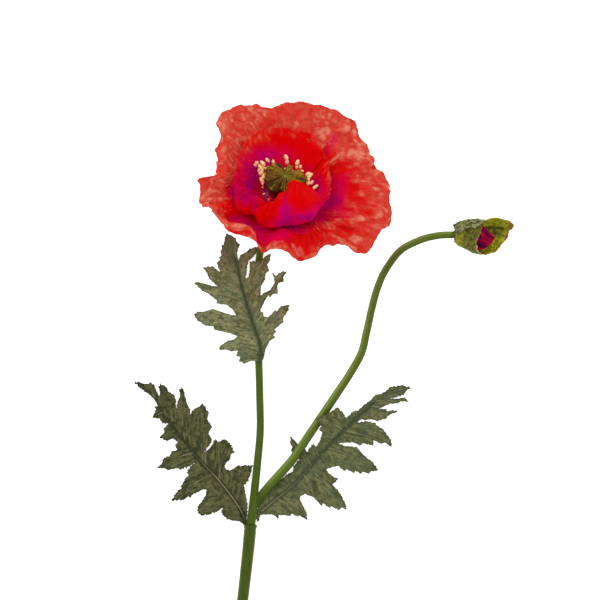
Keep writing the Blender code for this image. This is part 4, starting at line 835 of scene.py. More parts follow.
UPPER = dict(
    origin=(185.0, 225.0), unit=1 / 10.81,
    outline=[(795, 1475), (720, 1465), (640, 1495), (585, 1470), (600, 1425), (555, 1415), (580, 1350), (505, 1362),
             (440, 1345), (372, 1348), (380, 1310), (460, 1255), (530, 1240), (575, 1200), (480, 1165), (320, 1130),
             (310, 1095), (225, 1085), (140, 1035), (97, 970), (130, 940), (200, 940), (300, 910), (420, 950),
             (500, 975), (560, 980), (520, 915), (450, 860), (345, 845), (345, 810), (250, 740), (190, 710),
             (100, 628), (135, 618), (200, 635), (290, 660), (350, 665), (400, 690), (330, 640), (262, 577),
             (240, 520), (198, 462), (250, 450), (300, 450), (350, 490), (390, 520), (345, 410), (385, 375),
             (368, 350), (400, 330), (385, 290), (405, 250), (395, 225), (420, 210), (435, 130), (452, 92),
             (500, 115), (545, 145), (555, 175), (590, 215), (570, 260), (560, 310), (578, 395), (600, 330),
             (660, 295), (700, 260), (790, 235), (785, 280), (740, 340), (690, 385), (670, 440), (662, 520),
             (650, 590), (690, 560), (703, 480), (700, 400), (740, 390), (770, 410), (820, 380), (870, 340),
             (925, 308), (915, 385), (885, 430), (905, 490), (870, 520), (860, 590), (820, 660), (798, 790),
             (850, 740), (920, 705), (955, 655), (972, 625), (965, 570), (945, 515), (980, 555), (1020, 520),
             (1060, 505), (1100, 505), (1060, 560), (1065, 610), (1010, 625), (998, 655), (1000, 740), (950, 745),
             (920, 780), (900, 755), (860, 820), (830, 880), (800, 935), (840, 945), (850, 990), (900, 1000),
             (975, 925), (990, 940), (1040, 880), (1130, 865), (1115, 920), (1085, 965), (1060, 1000), (1060, 1050),
             (1020, 1080), (965, 1130), (985, 1150), (950, 1190), (970, 1215), (915, 1250), (870, 1340),
             (848, 1440), (826, 1475)],
    midrib=[(808, 1475, 6.9), (822, 1370, 8.4), (800, 1250, 9.6), (745, 1100, 10.8), (690, 930, 11.4),
            (640, 760, 11.6), (600, 620, 11.8), (576, 500, 11.8), (545, 390, 11.6), (500, 270, 11.2), (455, 100, 10.0)],
    teeth=0.50, fold=0.10, droop=0.0052, rib_shade=0.40,
    swells=[(120, 960, 150, -2.6), (420, 1340, 150, -3.4), (1090, 880, 150, -4.2), (1080, 510, 120, -2.0),
            (130, 620, 120, 1.5), (200, 460, 100, 1.2)],
)


def leaf_heights(leaf, xy):
    """Height in mm of the blade's middle surface at plan grid points."""
    xy = np.asarray(xy, float)
    ox, oy = leaf["origin"]
    u = leaf["unit"]
    rib = through([(ox + x * u, oy + y * u, z) for x, y, z in leaf["midrib"]], 60)
    d2 = ((xy[:, None, :] - rib[None, :, :2]) ** 2).sum(2)
    w = 1.0 / (d2 + 0.6) ** 2
    z = (w * rib[None, :, 2]).sum(1) / w.sum(1)
    d = np.sqrt(d2.min(1))
    z = z + leaf["fold"] * d * np.exp(-d / 22.0) - leaf["droop"] * d * d * np.exp(-d / 60.0)
    for x, y, reach, rise in leaf["swells"]:
        x, y, reach = ox + x * u, oy + y * u, reach * u
        z = z + rise * np.exp(-((xy[:, 0] - x) ** 2 + (xy[:, 1] - y) ** 2) / (reach * reach))
    return np.maximum(z, 0.5 + 0.18 * np.maximum(z, 0.0))


# Side veins: where each leaves the midrib (0 at its foot, 1 at its tip) and the lobe's tip it runs to.
VEINS = {
    "left": [(.06, 985, 1440), (.12, 705, 1400), (.33, 425, 1265), (.50, 285, 936), (.66, 310, 630), (.78, 236, 430),
             (.10, 1195, 935), (.30, 1000, 690), (.27, 905, 700), (.42, 735, 300), (.40, 800, 520), (.58, 522, 130), (.75, 312, 100),
             (.87, 212, 82)],
    "right": [(.12, 545, 1322), (.34, 912, 1224), (.30, 690, 1170), (.47, 1208, 856), (.44, 835, 925), (.60, 1338, 632), (.78, 1400, 299),
              (.82, 1500, 204), (.60, 650, 364), (.62, 835, 270), (.36, 388, 545), (.42, 602, 620), (.9, 1475, 80)],
    "upper": [(.08, 380, 1347), (.05, 590, 1468), (.28, 105, 975), (.24, 320, 1100), (.45, 108, 632), (.42, 350, 835), (.58, 206, 462),
              (.70, 374, 352), (.82, 396, 228), (.10, 975, 1215), (.22, 1125, 868), (.36, 1095, 510), (.48, 920, 315), (.45, 905, 480),
              (.60, 785, 240), (.76, 585, 215)],
}


def away_from(points, line):
    """Distance in squares from points to a drawn line, and how far along the line the nearest piece is."""
    best, where = np.full(len(points), 1e9), np.zeros(len(points))
    for i, (a, b) in enumerate(zip(line, line[1:])):
        d, t = off_segment(points[:, 0], points[:, 1], *a[:2], *b[:2])
        near = d < best
        best, where = np.where(near, d, best), np.where(near, (i + t) / (len(line) - 1), where)
    return best, where


def inside(points, ring):
    hits = np.zeros(len(points), bool)
    for (x0, y0), (x1, y1) in zip(ring, np.roll(ring, -1, axis=0)):
        if y0 == y1:
            continue
        over = (y0 > points[:, 1]) != (y1 > points[:, 1])
        hits ^= over & (points[:, 0] < (x1 - x0) * (points[:, 1] - y0) / (y1 - y0) + x0)
    return hits


def leaf(name, drawn, seed, look, cells):
    ox, oy = drawn["origin"]
    u = drawn["unit"]
    corners = np.array([(ox + x * u, oy + y * u) for x, y in drawn["outline"]])
    ring, gone = [], 0.0
    turning = np.cross(corners, np.roll(corners, -1, axis=0)).sum()
    rib = through([(ox + x * u, oy + y * u, z) for x, y, z in drawn["midrib"]], 50)
    outward = away_from(corners, rib)[0]
    # The teeth point to the tip of their lobe: away from the midrib on one side of it, towards it on the other.
    leaving = np.roll(outward, -1) > outward
    sooner_, later_ = corners - np.roll(corners, 1, axis=0), np.roll(corners, -1, axis=0) - corners
    bulging = (sooner_[:, 0] * later_[:, 1] - sooner_[:, 1] * later_[:, 0]) * np.sign(turning) > 0
    size = np.where(bulging & np.roll(bulging, -1), 1.0, 0.5) * drawn["teeth"]
    for before, p, n, going, bulges, tall in zip(np.roll(corners, 1, axis=0), corners, np.roll(corners, -1, axis=0), leaving, bulging, size):
        pieces = max(1, int(np.hypot(*(n - p)) / 0.42))
        across = np.array([n[1] - p[1], p[0] - n[0]]) / max(1e-9, np.hypot(*(n - p))) * np.sign(turning)
        sooner = np.array([p[1] - before[1], before[0] - p[0]]) / max(1e-9, np.hypot(*(p - before))) * np.sign(turning)
        point = (across + sooner) * (0.46 if bulges else -0.10)
        for i in range(pieces):
            t = i / pieces
            at = p + (n - p) * t
            tooth = (gone + np.hypot(*(n - p)) * t) / 4.3 + 0.5 * float(noise(at[0] / 6, at[1] / 6, seed + 2))
            phase = tooth % 1.0 if going else 1 - tooth % 1.0
            nick = (0.15 * float(noise(at[0] / 1.2, at[1] / 1.2, seed)) + 0.05 * float(noise(at[0] * 2.3, at[1] * 2.3, seed))
                    + tall * (1.95 + 0.90 * float(noise(at[0] / 4, at[1] / 4, seed + 6))) * (phase ** 1.5 - 0.38))
            ring.append(at + across * (0.22 + nick * min(1.0, 3.0 * min(t, 1 - t))) if i else at + point)
        gone += np.hypot(*(n - p))
    ring = np.array(ring)
    lo, hi = ring.min(0), ring.max(0)
    gx, gy = np.meshgrid(np.arange(lo[0], hi[0], cells), np.arange(lo[1], hi[1], cells * 0.866))
    gx = gx + (np.arange(gx.shape[0]) % 2)[:, None] * cells / 2
    grid = np.stack([gx.ravel(), gy.ravel()], 1)
    grid = grid + cells * 0.18 * np.stack([noise(grid[:, 0] * 3, grid[:, 1] * 3, 1), noise(grid[:, 0] * 3, grid[:, 1] * 3, 2)], 1)
    grid = grid[inside(grid, ring)]
    near = np.full(len(grid), 1e9)
    for a, b in zip(ring, np.roll(ring, -1, axis=0)):
        near = np.minimum(near, off_segment(grid[:, 0], grid[:, 1], *a, *b)[0])
    grid, near = grid[near > cells * 0.45], near[near > cells * 0.45]
    flat = np.concatenate([ring, grid])
    walls = [(i, (i + 1) % len(ring)) for i in range(len(ring))]
    verts, _, faces, *_ = delaunay_2d_cdt([Vector(p) for p in flat.tolist()], walls, [], 0, 1e-6, False)
    xy = np.array([tuple(p) for p in verts])
    faces = np.array(faces)
    faces = faces[inside(xy[faces].mean(1), ring)]
    turned = np.cross(xy[faces[:, 1]] - xy[faces[:, 0]], xy[faces[:, 2]] - xy[faces[:, 0]]) > 0
    faces[turned] = faces[turned][:, ::-1]
    edge = np.full(len(xy), 1e9)
    for a, b in zip(ring, np.roll(ring, -1, axis=0)):
        edge = np.minimum(edge, off_segment(xy[:, 0], xy[:, 1], *a, *b)[0])
    d_rib, on_rib = away_from(xy, rib)
    ahead = rib[-1, :2] - rib[0, :2]
    ahead = ahead / np.hypot(*ahead)
    vein, groove, lane, streak, hair = np.zeros(len(xy)), np.zeros(len(xy)), np.full(len(xy), 1e9), np.zeros(len(xy)), np.zeros(len(xy))
    for number, (f, tx, ty) in enumerate(VEINS[name]):
        start = rib[int(f * 49), :2]
        tip = np.array([ox + tx * u, oy + ty * u])
        reach = np.hypot(*(tip - start))
        bend = start + (tip - start) * 0.45 + ahead * reach * 0.10
        t = np.linspace(0, 0.97, 14)[:, None]
        line = (1 - t) ** 2 * start + 2 * t * (1 - t) * bend + t * t * tip
        d, along = away_from(xy, line)
        thin = 1 - 0.75 * along
        patchy = 0.58 + 0.70 * noise(along * reach / 6, number * 3.1, seed)
        vein = np.maximum(vein, np.exp(-(d / (0.40 * thin + 0.08)) ** 2) * (1 - 0.4 * along) * np.clip(patchy, 0, 1))
        groove = np.maximum(groove, np.exp(-((d - 1.0) / 0.8) ** 2) * (1 - 0.5 * along) * np.clip(1.1 - 0.6 * patchy, 0, 1))
        side = np.sign((xy[:, 0] - start[0]) * (tip[1] - start[1]) - (xy[:, 1] - start[1]) * (tip[0] - start[0]))
        own = noise(side * d / 1.25 + 0.5 * noise(xy[:, 0] / 4, xy[:, 1] / 4, seed), along * reach / 9, number * 5.3 + seed)
        streak = np.where(d < lane, own, streak)
        hair = np.where(d < lane, noise(side * d / 0.8 + 0.4 * noise(xy[:, 0] / 3, xy[:, 1] / 3, seed + 1), along * reach / 5, number * 7.1 + seed), hair)
        lane = np.minimum(lane, d)
    z = leaf_heights(drawn, xy)
    pucker = layered(xy[:, 0] / 6, xy[:, 1] / 6, seed, 3)
    z = z + (-0.30 * np.exp(-(lane / 1.3) ** 2) + 0.30 * smooth(lane, 0.5, 4.5) - 0.35 * drawn.get("rib_shade", 1.0) * np.exp(-(d_rib / 2.0) ** 2)
             + 0.45 * pucker * smooth(np.minimum(lane, d_rib), 0, 4) + 0.10 * noise(xy[:, 0] * 1.3, xy[:, 1] * 1.3, seed)
             + 0.25 * smooth(-edge, -2.2, 0) * noise(xy[:, 0] / 2.1, xy[:, 1] / 2.1, seed + 4))
    z = np.maximum(z, 0.45)
    mesh = bpy.data.meshes.new("leaf_" + name)
    mesh.from_pydata(plan(xy[:, 0], xy[:, 1], z).tolist(), [], faces.tolist())
    # The groove mask is painted shade beside the side veins and beside the midrib.
    masks = dict(vein=vein, groove=np.maximum(groove * 0.8, drawn.get("rib_shade", 1.0) * np.exp(-((d_rib - 1.4) / 1.2) ** 2)),
                 edge=np.exp(-(edge / 0.90) ** 2) * np.clip(0.74 + 0.6 * streak, 0.15, 1), along=on_rib,
                 tint=0.5 + 0.5 * layered(xy[:, 0] / 11, xy[:, 1] / 11, seed + 9, 3), beside=np.exp(-(d_rib / 4.0) ** 2),
                 dapple=np.clip(0.5 + 0.50 * layered(xy[:, 0] / 2.8, xy[:, 1] / 2.8, seed + 13, 3) + (0.42 * streak + 0.38 * hair) * smooth(d_rib, 0.8, 3.0), 0, 1),
                 hollow=np.clip(0.9 * layered(xy[:, 0] / 7, xy[:, 1] / 7, seed + 17, 2) - 0.1, 0, 1))
    for k, values in masks.items():
        mesh.attributes.new(k, "FLOAT", "POINT").data.foreach_set("value", np.asarray(values, np.float32))
    mesh.shade_smooth()
    obj = new_object("leaf_" + name, mesh)
    thicken(obj, 0.34)
    put(obj, [f"leaf_{name}_blade"], look)
    return rib


def leaf_material(name, dark, tan, teal, vein, shade, teal_reach, tip_brown):
    m, t, b = material(name)
    at = place(t)
    mottle = noise_of(t, at, 620.0, 4.0, 0.68)
    grain = noise_of(t, at, 1300.0, 3.0, 0.7)
    weave = t.nodes.new("ShaderNodeTexWave")
    weave.inputs["Scale"].default_value = 420.0
    weave.inputs["Distortion"].default_value = 5.0
    weave.inputs["Detail"].default_value = 2.0
    weave.bands_direction = "DIAGONAL"
    t.links.new(at, weave.inputs["Vector"])
    light = sums(t, sums(t, mask(t, "dapple"), 0.50), sums(t, mottle, 0.50), "ADD")
    colour = blend(t, spread(t, light, 0.33, 0.66), dark, tan)
    teal_at = sums(t, spread(t, mask(t, "tint"), 0.40, 0.80), teal_reach)
    colour = blend(t, teal_at, colour, teal)
    colour = blend(t, sums(t, mask(t, "beside"), teal_reach * 0.7), colour, teal)
    brown = sums(t, spread(t, mask(t, "along"), 0.62, 1.0), tip_brown)
    colour = blend(t, brown, colour, (0.110, 0.080, 0.034))
    colour = blend(t, spread(t, grain, 0.46, 0.74, 0.0, 0.42), colour, tan)
    colour = blend(t, spread(t, grain, 0.5, 0.25, 0.0, 0.6), colour, shade)
    colour = blend(t, sums(t, weave.outputs["Fac"], 0.22), colour, shade)
    colour = blend(t, sums(t, mask(t, "hollow"), 0.6), colour, shade)
    # Painted shade in the grooves beside the veins and midrib.
    colour = blend(t, sums(t, mask(t, "groove"), 0.55), colour, shade)
    colour = blend(t, sums(t, mask(t, "vein"), 0.9), colour, vein)
    colour = blend(t, sums(t, mask(t, "edge"), 0.66), colour, (shade[0] * 0.55, shade[1] * 0.55, shade[2] * 0.5))
    t.links.new(colour, b.inputs["Base Color"])
    b.inputs["Roughness"].default_value = 0.75
    b.inputs["Specular IOR Level"].default_value = 0.12
    raise_by(t, b, sums(t, grain, weave.outputs["Fac"], "ADD"), 0.00022, 0.55)
    return m


left_look = leaf_material("leaf_dark", (0.030, 0.039, 0.011), (0.146, 0.146, 0.058), (0.048, 0.066, 0.028), (0.330, 0.300, 0.165),
                          (0.018, 0.024, 0.009), 0.25, 0.10)
right_look = leaf_material("leaf_grey", (0.066, 0.080, 0.027), (0.196, 0.199, 0.085), (0.070, 0.110, 0.058), (0.350, 0.340, 0.195),
                           (0.028, 0.038, 0.015), 0.55, 0.1)
upper_look = leaf_material("leaf_olive", (0.090, 0.104, 0.035), (0.332, 0.330, 0.158), (0.105, 0.158, 0.088), (0.150, 0.165, 0.080),
                           (0.036, 0.048, 0.018), 0.50, 0.75)
CELL = 0.72 / FINE
leaf("left", LEFT, 5.0, left_look, CELL)
leaf("right", RIGHT, 15.0, right_look, CELL)
leaf("upper", UPPER, 25.0, upper_look, CELL)

rib_look, rt, rb = material("leaf_rib_cord")
at = place(rt)
rib_noise = noise_of(rt, at, 600.0, 3.0, 0.6)
# Dark green cord going to tan, the tan painted lighter on the cord's top (painted highlight).
colour = blend(rt, mask(rt, "bleached"), (0.026, 0.042, 0.008), (0.330, 0.260, 0.150))
colour = blend(rt, spread(rt, rib_noise, 0.35, 0.65, 0.0, 0.4), colour, (0.070, 0.085, 0.025))
rt.links.new(colour, rb.inputs["Base Color"])
rb.inputs["Roughness"].default_value = 0.55
rb.inputs["Specular IOR Level"].default_value = 0.25


def rib_cord(name, drawn, r0, r1, upto, bleached):
    ox, oy = drawn["origin"]
    u = drawn["unit"]
    line = through([(ox + x * u, oy + y * u, z) for x, y, z in drawn["midrib"]], 160)
    line = line[: int(160 * upto)]
    t = np.linspace(0, 1, len(line))
    r = r0 + (r1 - r0) * t
    r = r * (1 - 0.75 * smooth(t, 0.93, 1.0))
    surface = leaf_heights(drawn, line[:, :2])
    centres = plan(line[:, 0], line[:, 1], surface + LEAF_T / 2 + 0.30 + r * 0.8)
    points, angle = tube_points(centres, r, 14)
    fade = np.interp(t, [p[0] for p in bleached], [p[1] for p in bleached])[:, None]
    # The cord's tan share, painted lighter on its top and darker below (painted highlight).
    body = Mesh(name + "_cord").add(points, wrap=True, caps=True, bleached=fade * (0.7 + 0.3 * np.cos(angle)))
    return put(body.object(), [name], rib_look)


rib_cord("leaf_left_midrib", LEFT, 0.42, 0.18, 0.86, [(0, .0), (0.06, .3), (0.12, .9), (0.36, .95), (0.42, .35), (0.6, 0), (1, 0)])
rib_cord("leaf_right_midrib", RIGHT, 0.60, 0.22, 0.84, [(0, .65), (0.12, .5), (0.35, .25), (0.6, 0.1), (1, 0)])
rib_cord("leaf_upper_midrib", UPPER, 0.80, 0.24, 0.84, [(0, .05), (0.4, 0.0), (1, 0)])

# ================================================================== the stamens
stamen_look, at_, ab = material("stamen")
at = place(at_)
grain = noise_of(at_, at, 1900.0, 3.0, 0.6)
cream = blend(at_, mask(at_, "gold"), (1.0, 0.740, 0.360), (0.930, 0.500, 0.140))
cream = blend(at_, mask(at_, "pink"), cream, (0.900, 0.400, 0.380))
cream = blend(at_, spread(at_, grain, 0.34, 0.46, 0.28, 0.0), cream, (0.70, 0.34, 0.10))
thread = blend(at_, mask(at_, "pink"), (0.110, 0.004, 0.040), (0.450, 0.060, 0.150))
at_.links.new(blend(at_, mask(at_, "thread"), cream, thread), ab.inputs["Base Color"])
ab.inputs["Roughness"].default_value = 0.65
ab.inputs["Specular IOR Level"].default_value = 0.2
raise_by(at_, ab, grain, 0.0003, 0.7)

# Anther at grid x, grid y and height along the axis; its size in mm, length, gold and pink shares, and
# the smaller ones beside it as (dx, dy, size, gold, pink), in order round the flower from its right side.
ANTHERS = [
    (311.8, 182.4, 17.5, 0.80, 1.0, 0.3, 0.5, [(-3.6, 0.6, 1.0, 0.6, 0.1)]),
    (308.9, 174.8, 19.0, 1.00, 1.6, 0.1, 0.0, [(-0.4, 3.6, 0.8, 0.1, 0.1)]),
    (300.2, 167.0, 16.6, 0.80, 1.2, 0.5, 0.0, [(1.9, 4.0, 0.55, 0.0, 0.3), (-3.8, 0.2, 0.6, 0.1, 0.1)]),
    (297.4, 162.6, 18.0, 0.95, 1.3, 0.1, 0.35, [(-0.8, 4.6, 0.6, 0.3, 0.3)]),
    (286.9, 162.3, 16.2, 0.85, 1.4, 0.1, 0.7, [(5.0, 9.0, 0.5, 0.0, 1.0), (-1.9, 6.8, 0.5, 0.0, 0.2)]),
    (286.2, 157.4, 18.0, 0.95, 1.0, 0.2, 0.15, []),
    (273.5, 162.0, 18.5, 0.48, 3.2, 0.0, 0.1, []),
    (267.6, 160.4, 18.4, 0.85, 1.9, 0.2, 0.25, []),
    (262.9, 163.4, 19.0, 0.90, 1.5, 0.1, 0.0, []),
    (256.2, 164.0, 18.0, 0.95, 1.2, 0.3, 0.75, []),
    (266.4, 169.0, 17.4, 0.80, 1.2, 0.7, 0.0, [(-1.0, 4.8, 0.5, 0.9, 0.2), (-3.4, -1.6, 0.75, 0.5, 0.0)]),
    (260.3, 167.4, 18.2, 1.00, 1.2, 0.5, 0.0, [(2.0, 2.6, 0.9, 0.6, 0.0), (-1.4, 3.0, 0.6, 0.4, 0.3)]),
    (261.0, 173.0, 19.0, 0.85, 1.3, 0.1, 0.2, [(2.6, 1.6, 0.7, 0.7, 0.1)]),
    (265.2, 177.6, 17.6, 0.80, 1.2, 0.4, 0.3, []),
    (261.9, 180.6, 18.4, 1.05, 1.2, 0.6, 0.1, [(1.0, 3.0, 0.65, 0.4, 0.4), (0.8, -2.8, 0.8, 0.3, 0.1)]),
    (262.6, 187.6, 17.6, 0.34, 2.0, 0.1, 0.5, []),
    (264.0, 194.0, 18.2, 0.45, 1.2, 0.6, 0.9, []), (268.6, 199.8, 17.4, 0.45, 1.2, 0.6, 0.9, []),
    (276.0, 203.5, 17.8, 0.8, 1.2, 0.4, 0.2, []), (286.0, 205.0, 17.2, 0.8, 1.2, 0.3, 0.1, []),
    (296.0, 203.0, 17.8, 0.8, 1.2, 0.4, 0.2, []), (305.0, 198.5, 17.2, 0.8, 1.2, 0.2, 0.1, []),
    (310.5, 191.5, 18.2, 0.8, 1.2, 0.4, 0.1, []), (315.3, 187.0, 17.2, 0.85, 1.5, 0.1, 0.05, []),
]


# Threads that loop over one another in front of the disc: points at grid x, grid y and height, and the pink share.
TANGLE = {
    15: [([(268.5, 188, 13), (264.5, 190.5, 17.5), (262.0, 194.5, 18.0), (264.5, 199.5, 17.0)], 0.15),
         ([(270.5, 189, 12), (268.5, 193.0, 17.5), (265.5, 196.0, 19.0), (262.6, 196.0, 18.0)], 0.9)],
    16: [([(271.0, 190, 12), (270.0, 195.5, 17.0), (267.5, 200.0, 18.0), (264.0, 201.5, 17.5)], 0.1),
         ([(267.0, 187, 13), (266.5, 192.5, 18.5), (268.5, 197.0, 18.0), (270.0, 201.0, 16.5)], 0.7),
         ([(265.5, 186, 14), (262.8, 189.5, 18.0), (261.5, 192.5, 19.0), (260.4, 196.0, 18.0)], 0.2)],
    17: [([(272.0, 190, 12), (268.5, 191.0, 17.0), (266.0, 198.0, 18.5), (268.5, 202.0, 17.0)], 0.5)],
}


def to_flower(x, y, h):
    a, b = disc_in_plane(x, y, h)
    return math.atan2(b, a) % (2 * math.pi), math.hypot(a, b)


def anther(body, tip, lean, size, long, gold, pink, seed):
    """Two lobes side by side on the end of a thread."""
    lean = np.array(lean)
    hint = np.array([math.cos(seed * 2.4), math.sin(seed * 2.4), 0.25])
    wide = np.cross(lean, hint)
    wide /= np.linalg.norm(wide)
    deep = np.cross(lean, wide)
    size = size * 2.02
    long = 0.55 + 0.45 * long
    for way in (-1, 1):
        t = np.linspace(0.03, math.pi - 0.03, 12)[:, None]
        a = np.linspace(0, 2 * math.pi, 14, endpoint=False)[None, :]
        lump = 1 + 0.20 * noise(np.cos(t) * 2.4 + seed, np.sin(t) * np.cos(a) * 2.4, np.sin(t) * np.sin(a) * 2.4 + way)
        x = size * 0.60 * np.sin(t) * np.cos(a) * lump + way * size * 0.36
        y = size * 0.56 * np.sin(t) * np.sin(a) * lump
        z = size * long * 0.74 * np.cos(t) * lump + way * size * 0.14 + 0 * a
        at = tip + (x[..., None] * wide + y[..., None] * deep + z[..., None] * lean) * MM
        core = np.exp(-((x - way * size * 0.36) ** 2) / (size * 0.16) ** 2) * (y > 0)
        body.add(at, wrap=True, flip=True, thread=0.0, gold=np.clip(gold + 0.3 * core, 0, 1), pink=pink)


def thread(body, rows, radii, pink):
    line = through([tuple(p) for p in rows], 18)
    r = np.interp(np.linspace(0, 1, 18), np.linspace(0, 1, len(radii)), radii)
    points, _ = tube_points(line, r[:, None], 8)
    body.add(points, wrap=True, thread=1.0, gold=0.0, pink=pink)


spots = [to_flower(x, y, h) for x, y, h, *_ in ANTHERS]
for i, ((x, y, h, size, long, gold, pink, more), (turn, reach)) in enumerate(zip(ANTHERS, spots)):
    even = spots[0][0] + 2 * math.pi * i / len(ANTHERS)
    twist = (turn - even + math.pi) % (2 * math.pi) - math.pi
    body = Mesh(f"stamen_{i + 1:02d}_fine")
    tips = [(x, y, h, size, long, gold, pink)] + [(x + dx, y + dy, h - 0.6, s_, 1.2, g_, p_) for dx, dy, s_, g_, p_ in more]
    for k, (ax, ay, ah, s_, long_, g_, p_) in enumerate(tips):
        t_, r_ = to_flower(ax, ay, ah)
        tip = in_flower(t_, r_, ah)
        wob = 0.25 * float(noise(i * 3.7 + k, 2.0))
        knee = in_flower(even + 0.8 * twist + 0.1 * wob, r_ - 3.2, ah - 4.4)
        lean = (tip - knee) / np.linalg.norm(tip - knee)
        thread(body, [in_flower(even + 0.03 * k, 4.1, 5.3), in_flower(even + 0.3 * twist + wob * 0.3, 7.9, 8.6), knee,
                      tip - lean * (s_ * 0.4 * MM)], [0.28, 0.24, 0.17, 0.13], 0.35 if k == 0 else 0.8)
        anther(body, tip, lean, s_, long_, g_, p_, i * 1.7 + k)
    # Shorter threads that tangle round the capsule's foot.
    for k in range(3 if 14 <= i <= 18 else 1):
        t_ = even + 0.16 * (k - 1) + 0.05
        hook = float(noise(i * 1.3, k * 2.1))
        top = in_flower(t_ + 0.25 * hook, 9.5 + 2.2 * hook, 13.0 + 2.4 * k)
        thread(body, [in_flower(t_, 4.2, 5.2), in_flower(t_ + 0.1, 7.4, 8.0 + k), in_flower(t_ + 0.2 * hook, 10.0, 10.5 + 2 * k), top],
               [0.22, 0.2, 0.17, 0.12], 0.1 + 0.5 * (k % 2))
        if i < 17 and k < 2:
            anther(body, top, np.array(F_UP), 0.36, 1.2, 0.6, 0.9, i + 9 * k)
    for loop, pink_ in TANGLE.get(i, []):
        thread(body, [in_flower(*to_flower(lx, ly, lh), lh) for lx, ly, lh in loop], [0.20, 0.24, 0.22, 0.14], pink_)
    put(body.object(), [f"stamen_{i + 1:02d}"], stamen_look)

# ====================================================================== the bud
B_OUT, B_UP = BUD_AXIS, Vector((0, 0, 1))
B_SIDE = B_UP.cross(B_OUT).normalized()
B_ORG = plan(*BUD_AT)
BUD_SHAPE = [(0.0, 4.2), (0.9, 4.6), (1.8, 5.6), (3.4, 7.0), (6.6, 8.3), (9.7, 9.6), (12.4, 11.0), (15.3, 11.4), (17.8, 11.8),
             (22.0, 11.3), (27.0, 10.3), (31.0, 9.4), (34.5, 8.0), (38.0, 5.6)]
FLAP = [(0.0, 6.3), (0.6, 6.5), (3.2, 7.5), (5.9, 8.7), (9.1, 9.3), (11.6, 9.85), (15.3, 10.0), (17.2, 9.4), (18.4, 8.9), (20.0, 8.6)]
SPOON = [(0.0, 4.6), (0.9, 5.0), (3.2, 6.9), (5.9, 8.0), (9.1, 8.6), (11.6, 9.1), (15.3, 9.3), (17.2, 9.0), (18.6, 9.4), (20.3, 10.5), (22.8, 11.5),
         (25.3, 11.8), (27.8, 11.6), (30.9, 10.9), (34.0, 10.2), (36.0, 8.8), (38.5, 6.4)]


SPOON_NEAR = [(0.0, 4.5), (0.9, 4.9), (3.2, 6.6), (5.9, 7.8), (9.1, 9.0), (12.4, 10.6), (15.3, 11.1), (17.8, 11.9), (20.9, 11.7), (22.8, 10.9), (24.5, 10.4),
              (26.0, 10.6), (28.0, 10.0), (29.5, 8.8), (31.0, 7.8), (38.0, 6.0)]


def bud_radius(x, shape=BUD_SHAPE):
    total = 0.0
    for shift in (-0.5, -0.25, 0.0, 0.25, 0.5):
        total = total + np.interp(x + shift, [p[0] for p in shape], [p[1] for p in shape])
    return total / 5


def in_bud(x, r, turn):
    """World points from distance along the bud and radius in mm, and angle from the top towards the far side."""
    x, r, turn = np.broadcast_arrays(*(np.asarray(v, float) for v in (x, r, turn)))
    return (np.array(B_ORG) + (x * MM)[..., None] * np.array(B_OUT)
            + (r * np.cos(turn) * MM)[..., None] * np.array(B_UP)
            + (r * np.sin(turn) * MM)[..., None] * np.array(B_SIDE))


sepal_look, pt, pb = material("bud_sepal")
at = place(pt)
mottle = noise_of(pt, at, 520.0, 4.0, 0.65)
slant = pt.nodes.new("ShaderNodeTexWave")
slant.inputs["Scale"].default_value = 330.0
slant.inputs["Distortion"].default_value = 3.0
slant.inputs["Detail"].default_value = 3.0
slant.bands_direction = "DIAGONAL"
pt.links.new(at, slant.inputs["Vector"])
colour = blend(pt, spread(pt, mottle, 0.40, 0.60), (0.044, 0.044, 0.002), (0.200, 0.188, 0.020))
colour = blend(pt, mask(pt, "grey"), colour, blend(pt, spread(pt, mottle, 0.40, 0.58), (0.034, 0.046, 0.007), (0.450, 0.490, 0.205)))
colour = blend(pt, mask(pt, "lime"), colour, blend(pt, spread(pt, mottle, 0.36, 0.64), (0.200, 0.190, 0.002), (0.780, 0.800, 0.020)))
colour = blend(pt, mask(pt, "brown"), colour, (0.330, 0.150, 0.025))
colour = blend(pt, sums(pt, slant.outputs["Fac"], 0.35), colour, (0.045, 0.045, 0.008))
colour = blend(pt, mask(pt, "shade"), colour, (0.030, 0.030, 0.006))
colour = blend(pt, mask(pt, "torn"), colour, (0.730, 0.600, 0.380))
pt.links.new(colour, pb.inputs["Base Color"])
pb.inputs["Roughness"].default_value = 0.7
pb.inputs["Specular IOR Level"].default_value = 0.2
raise_by(pt, pb, sums(pt, mottle, slant.outputs["Fac"], "ADD"), 0.0004, 0.7)


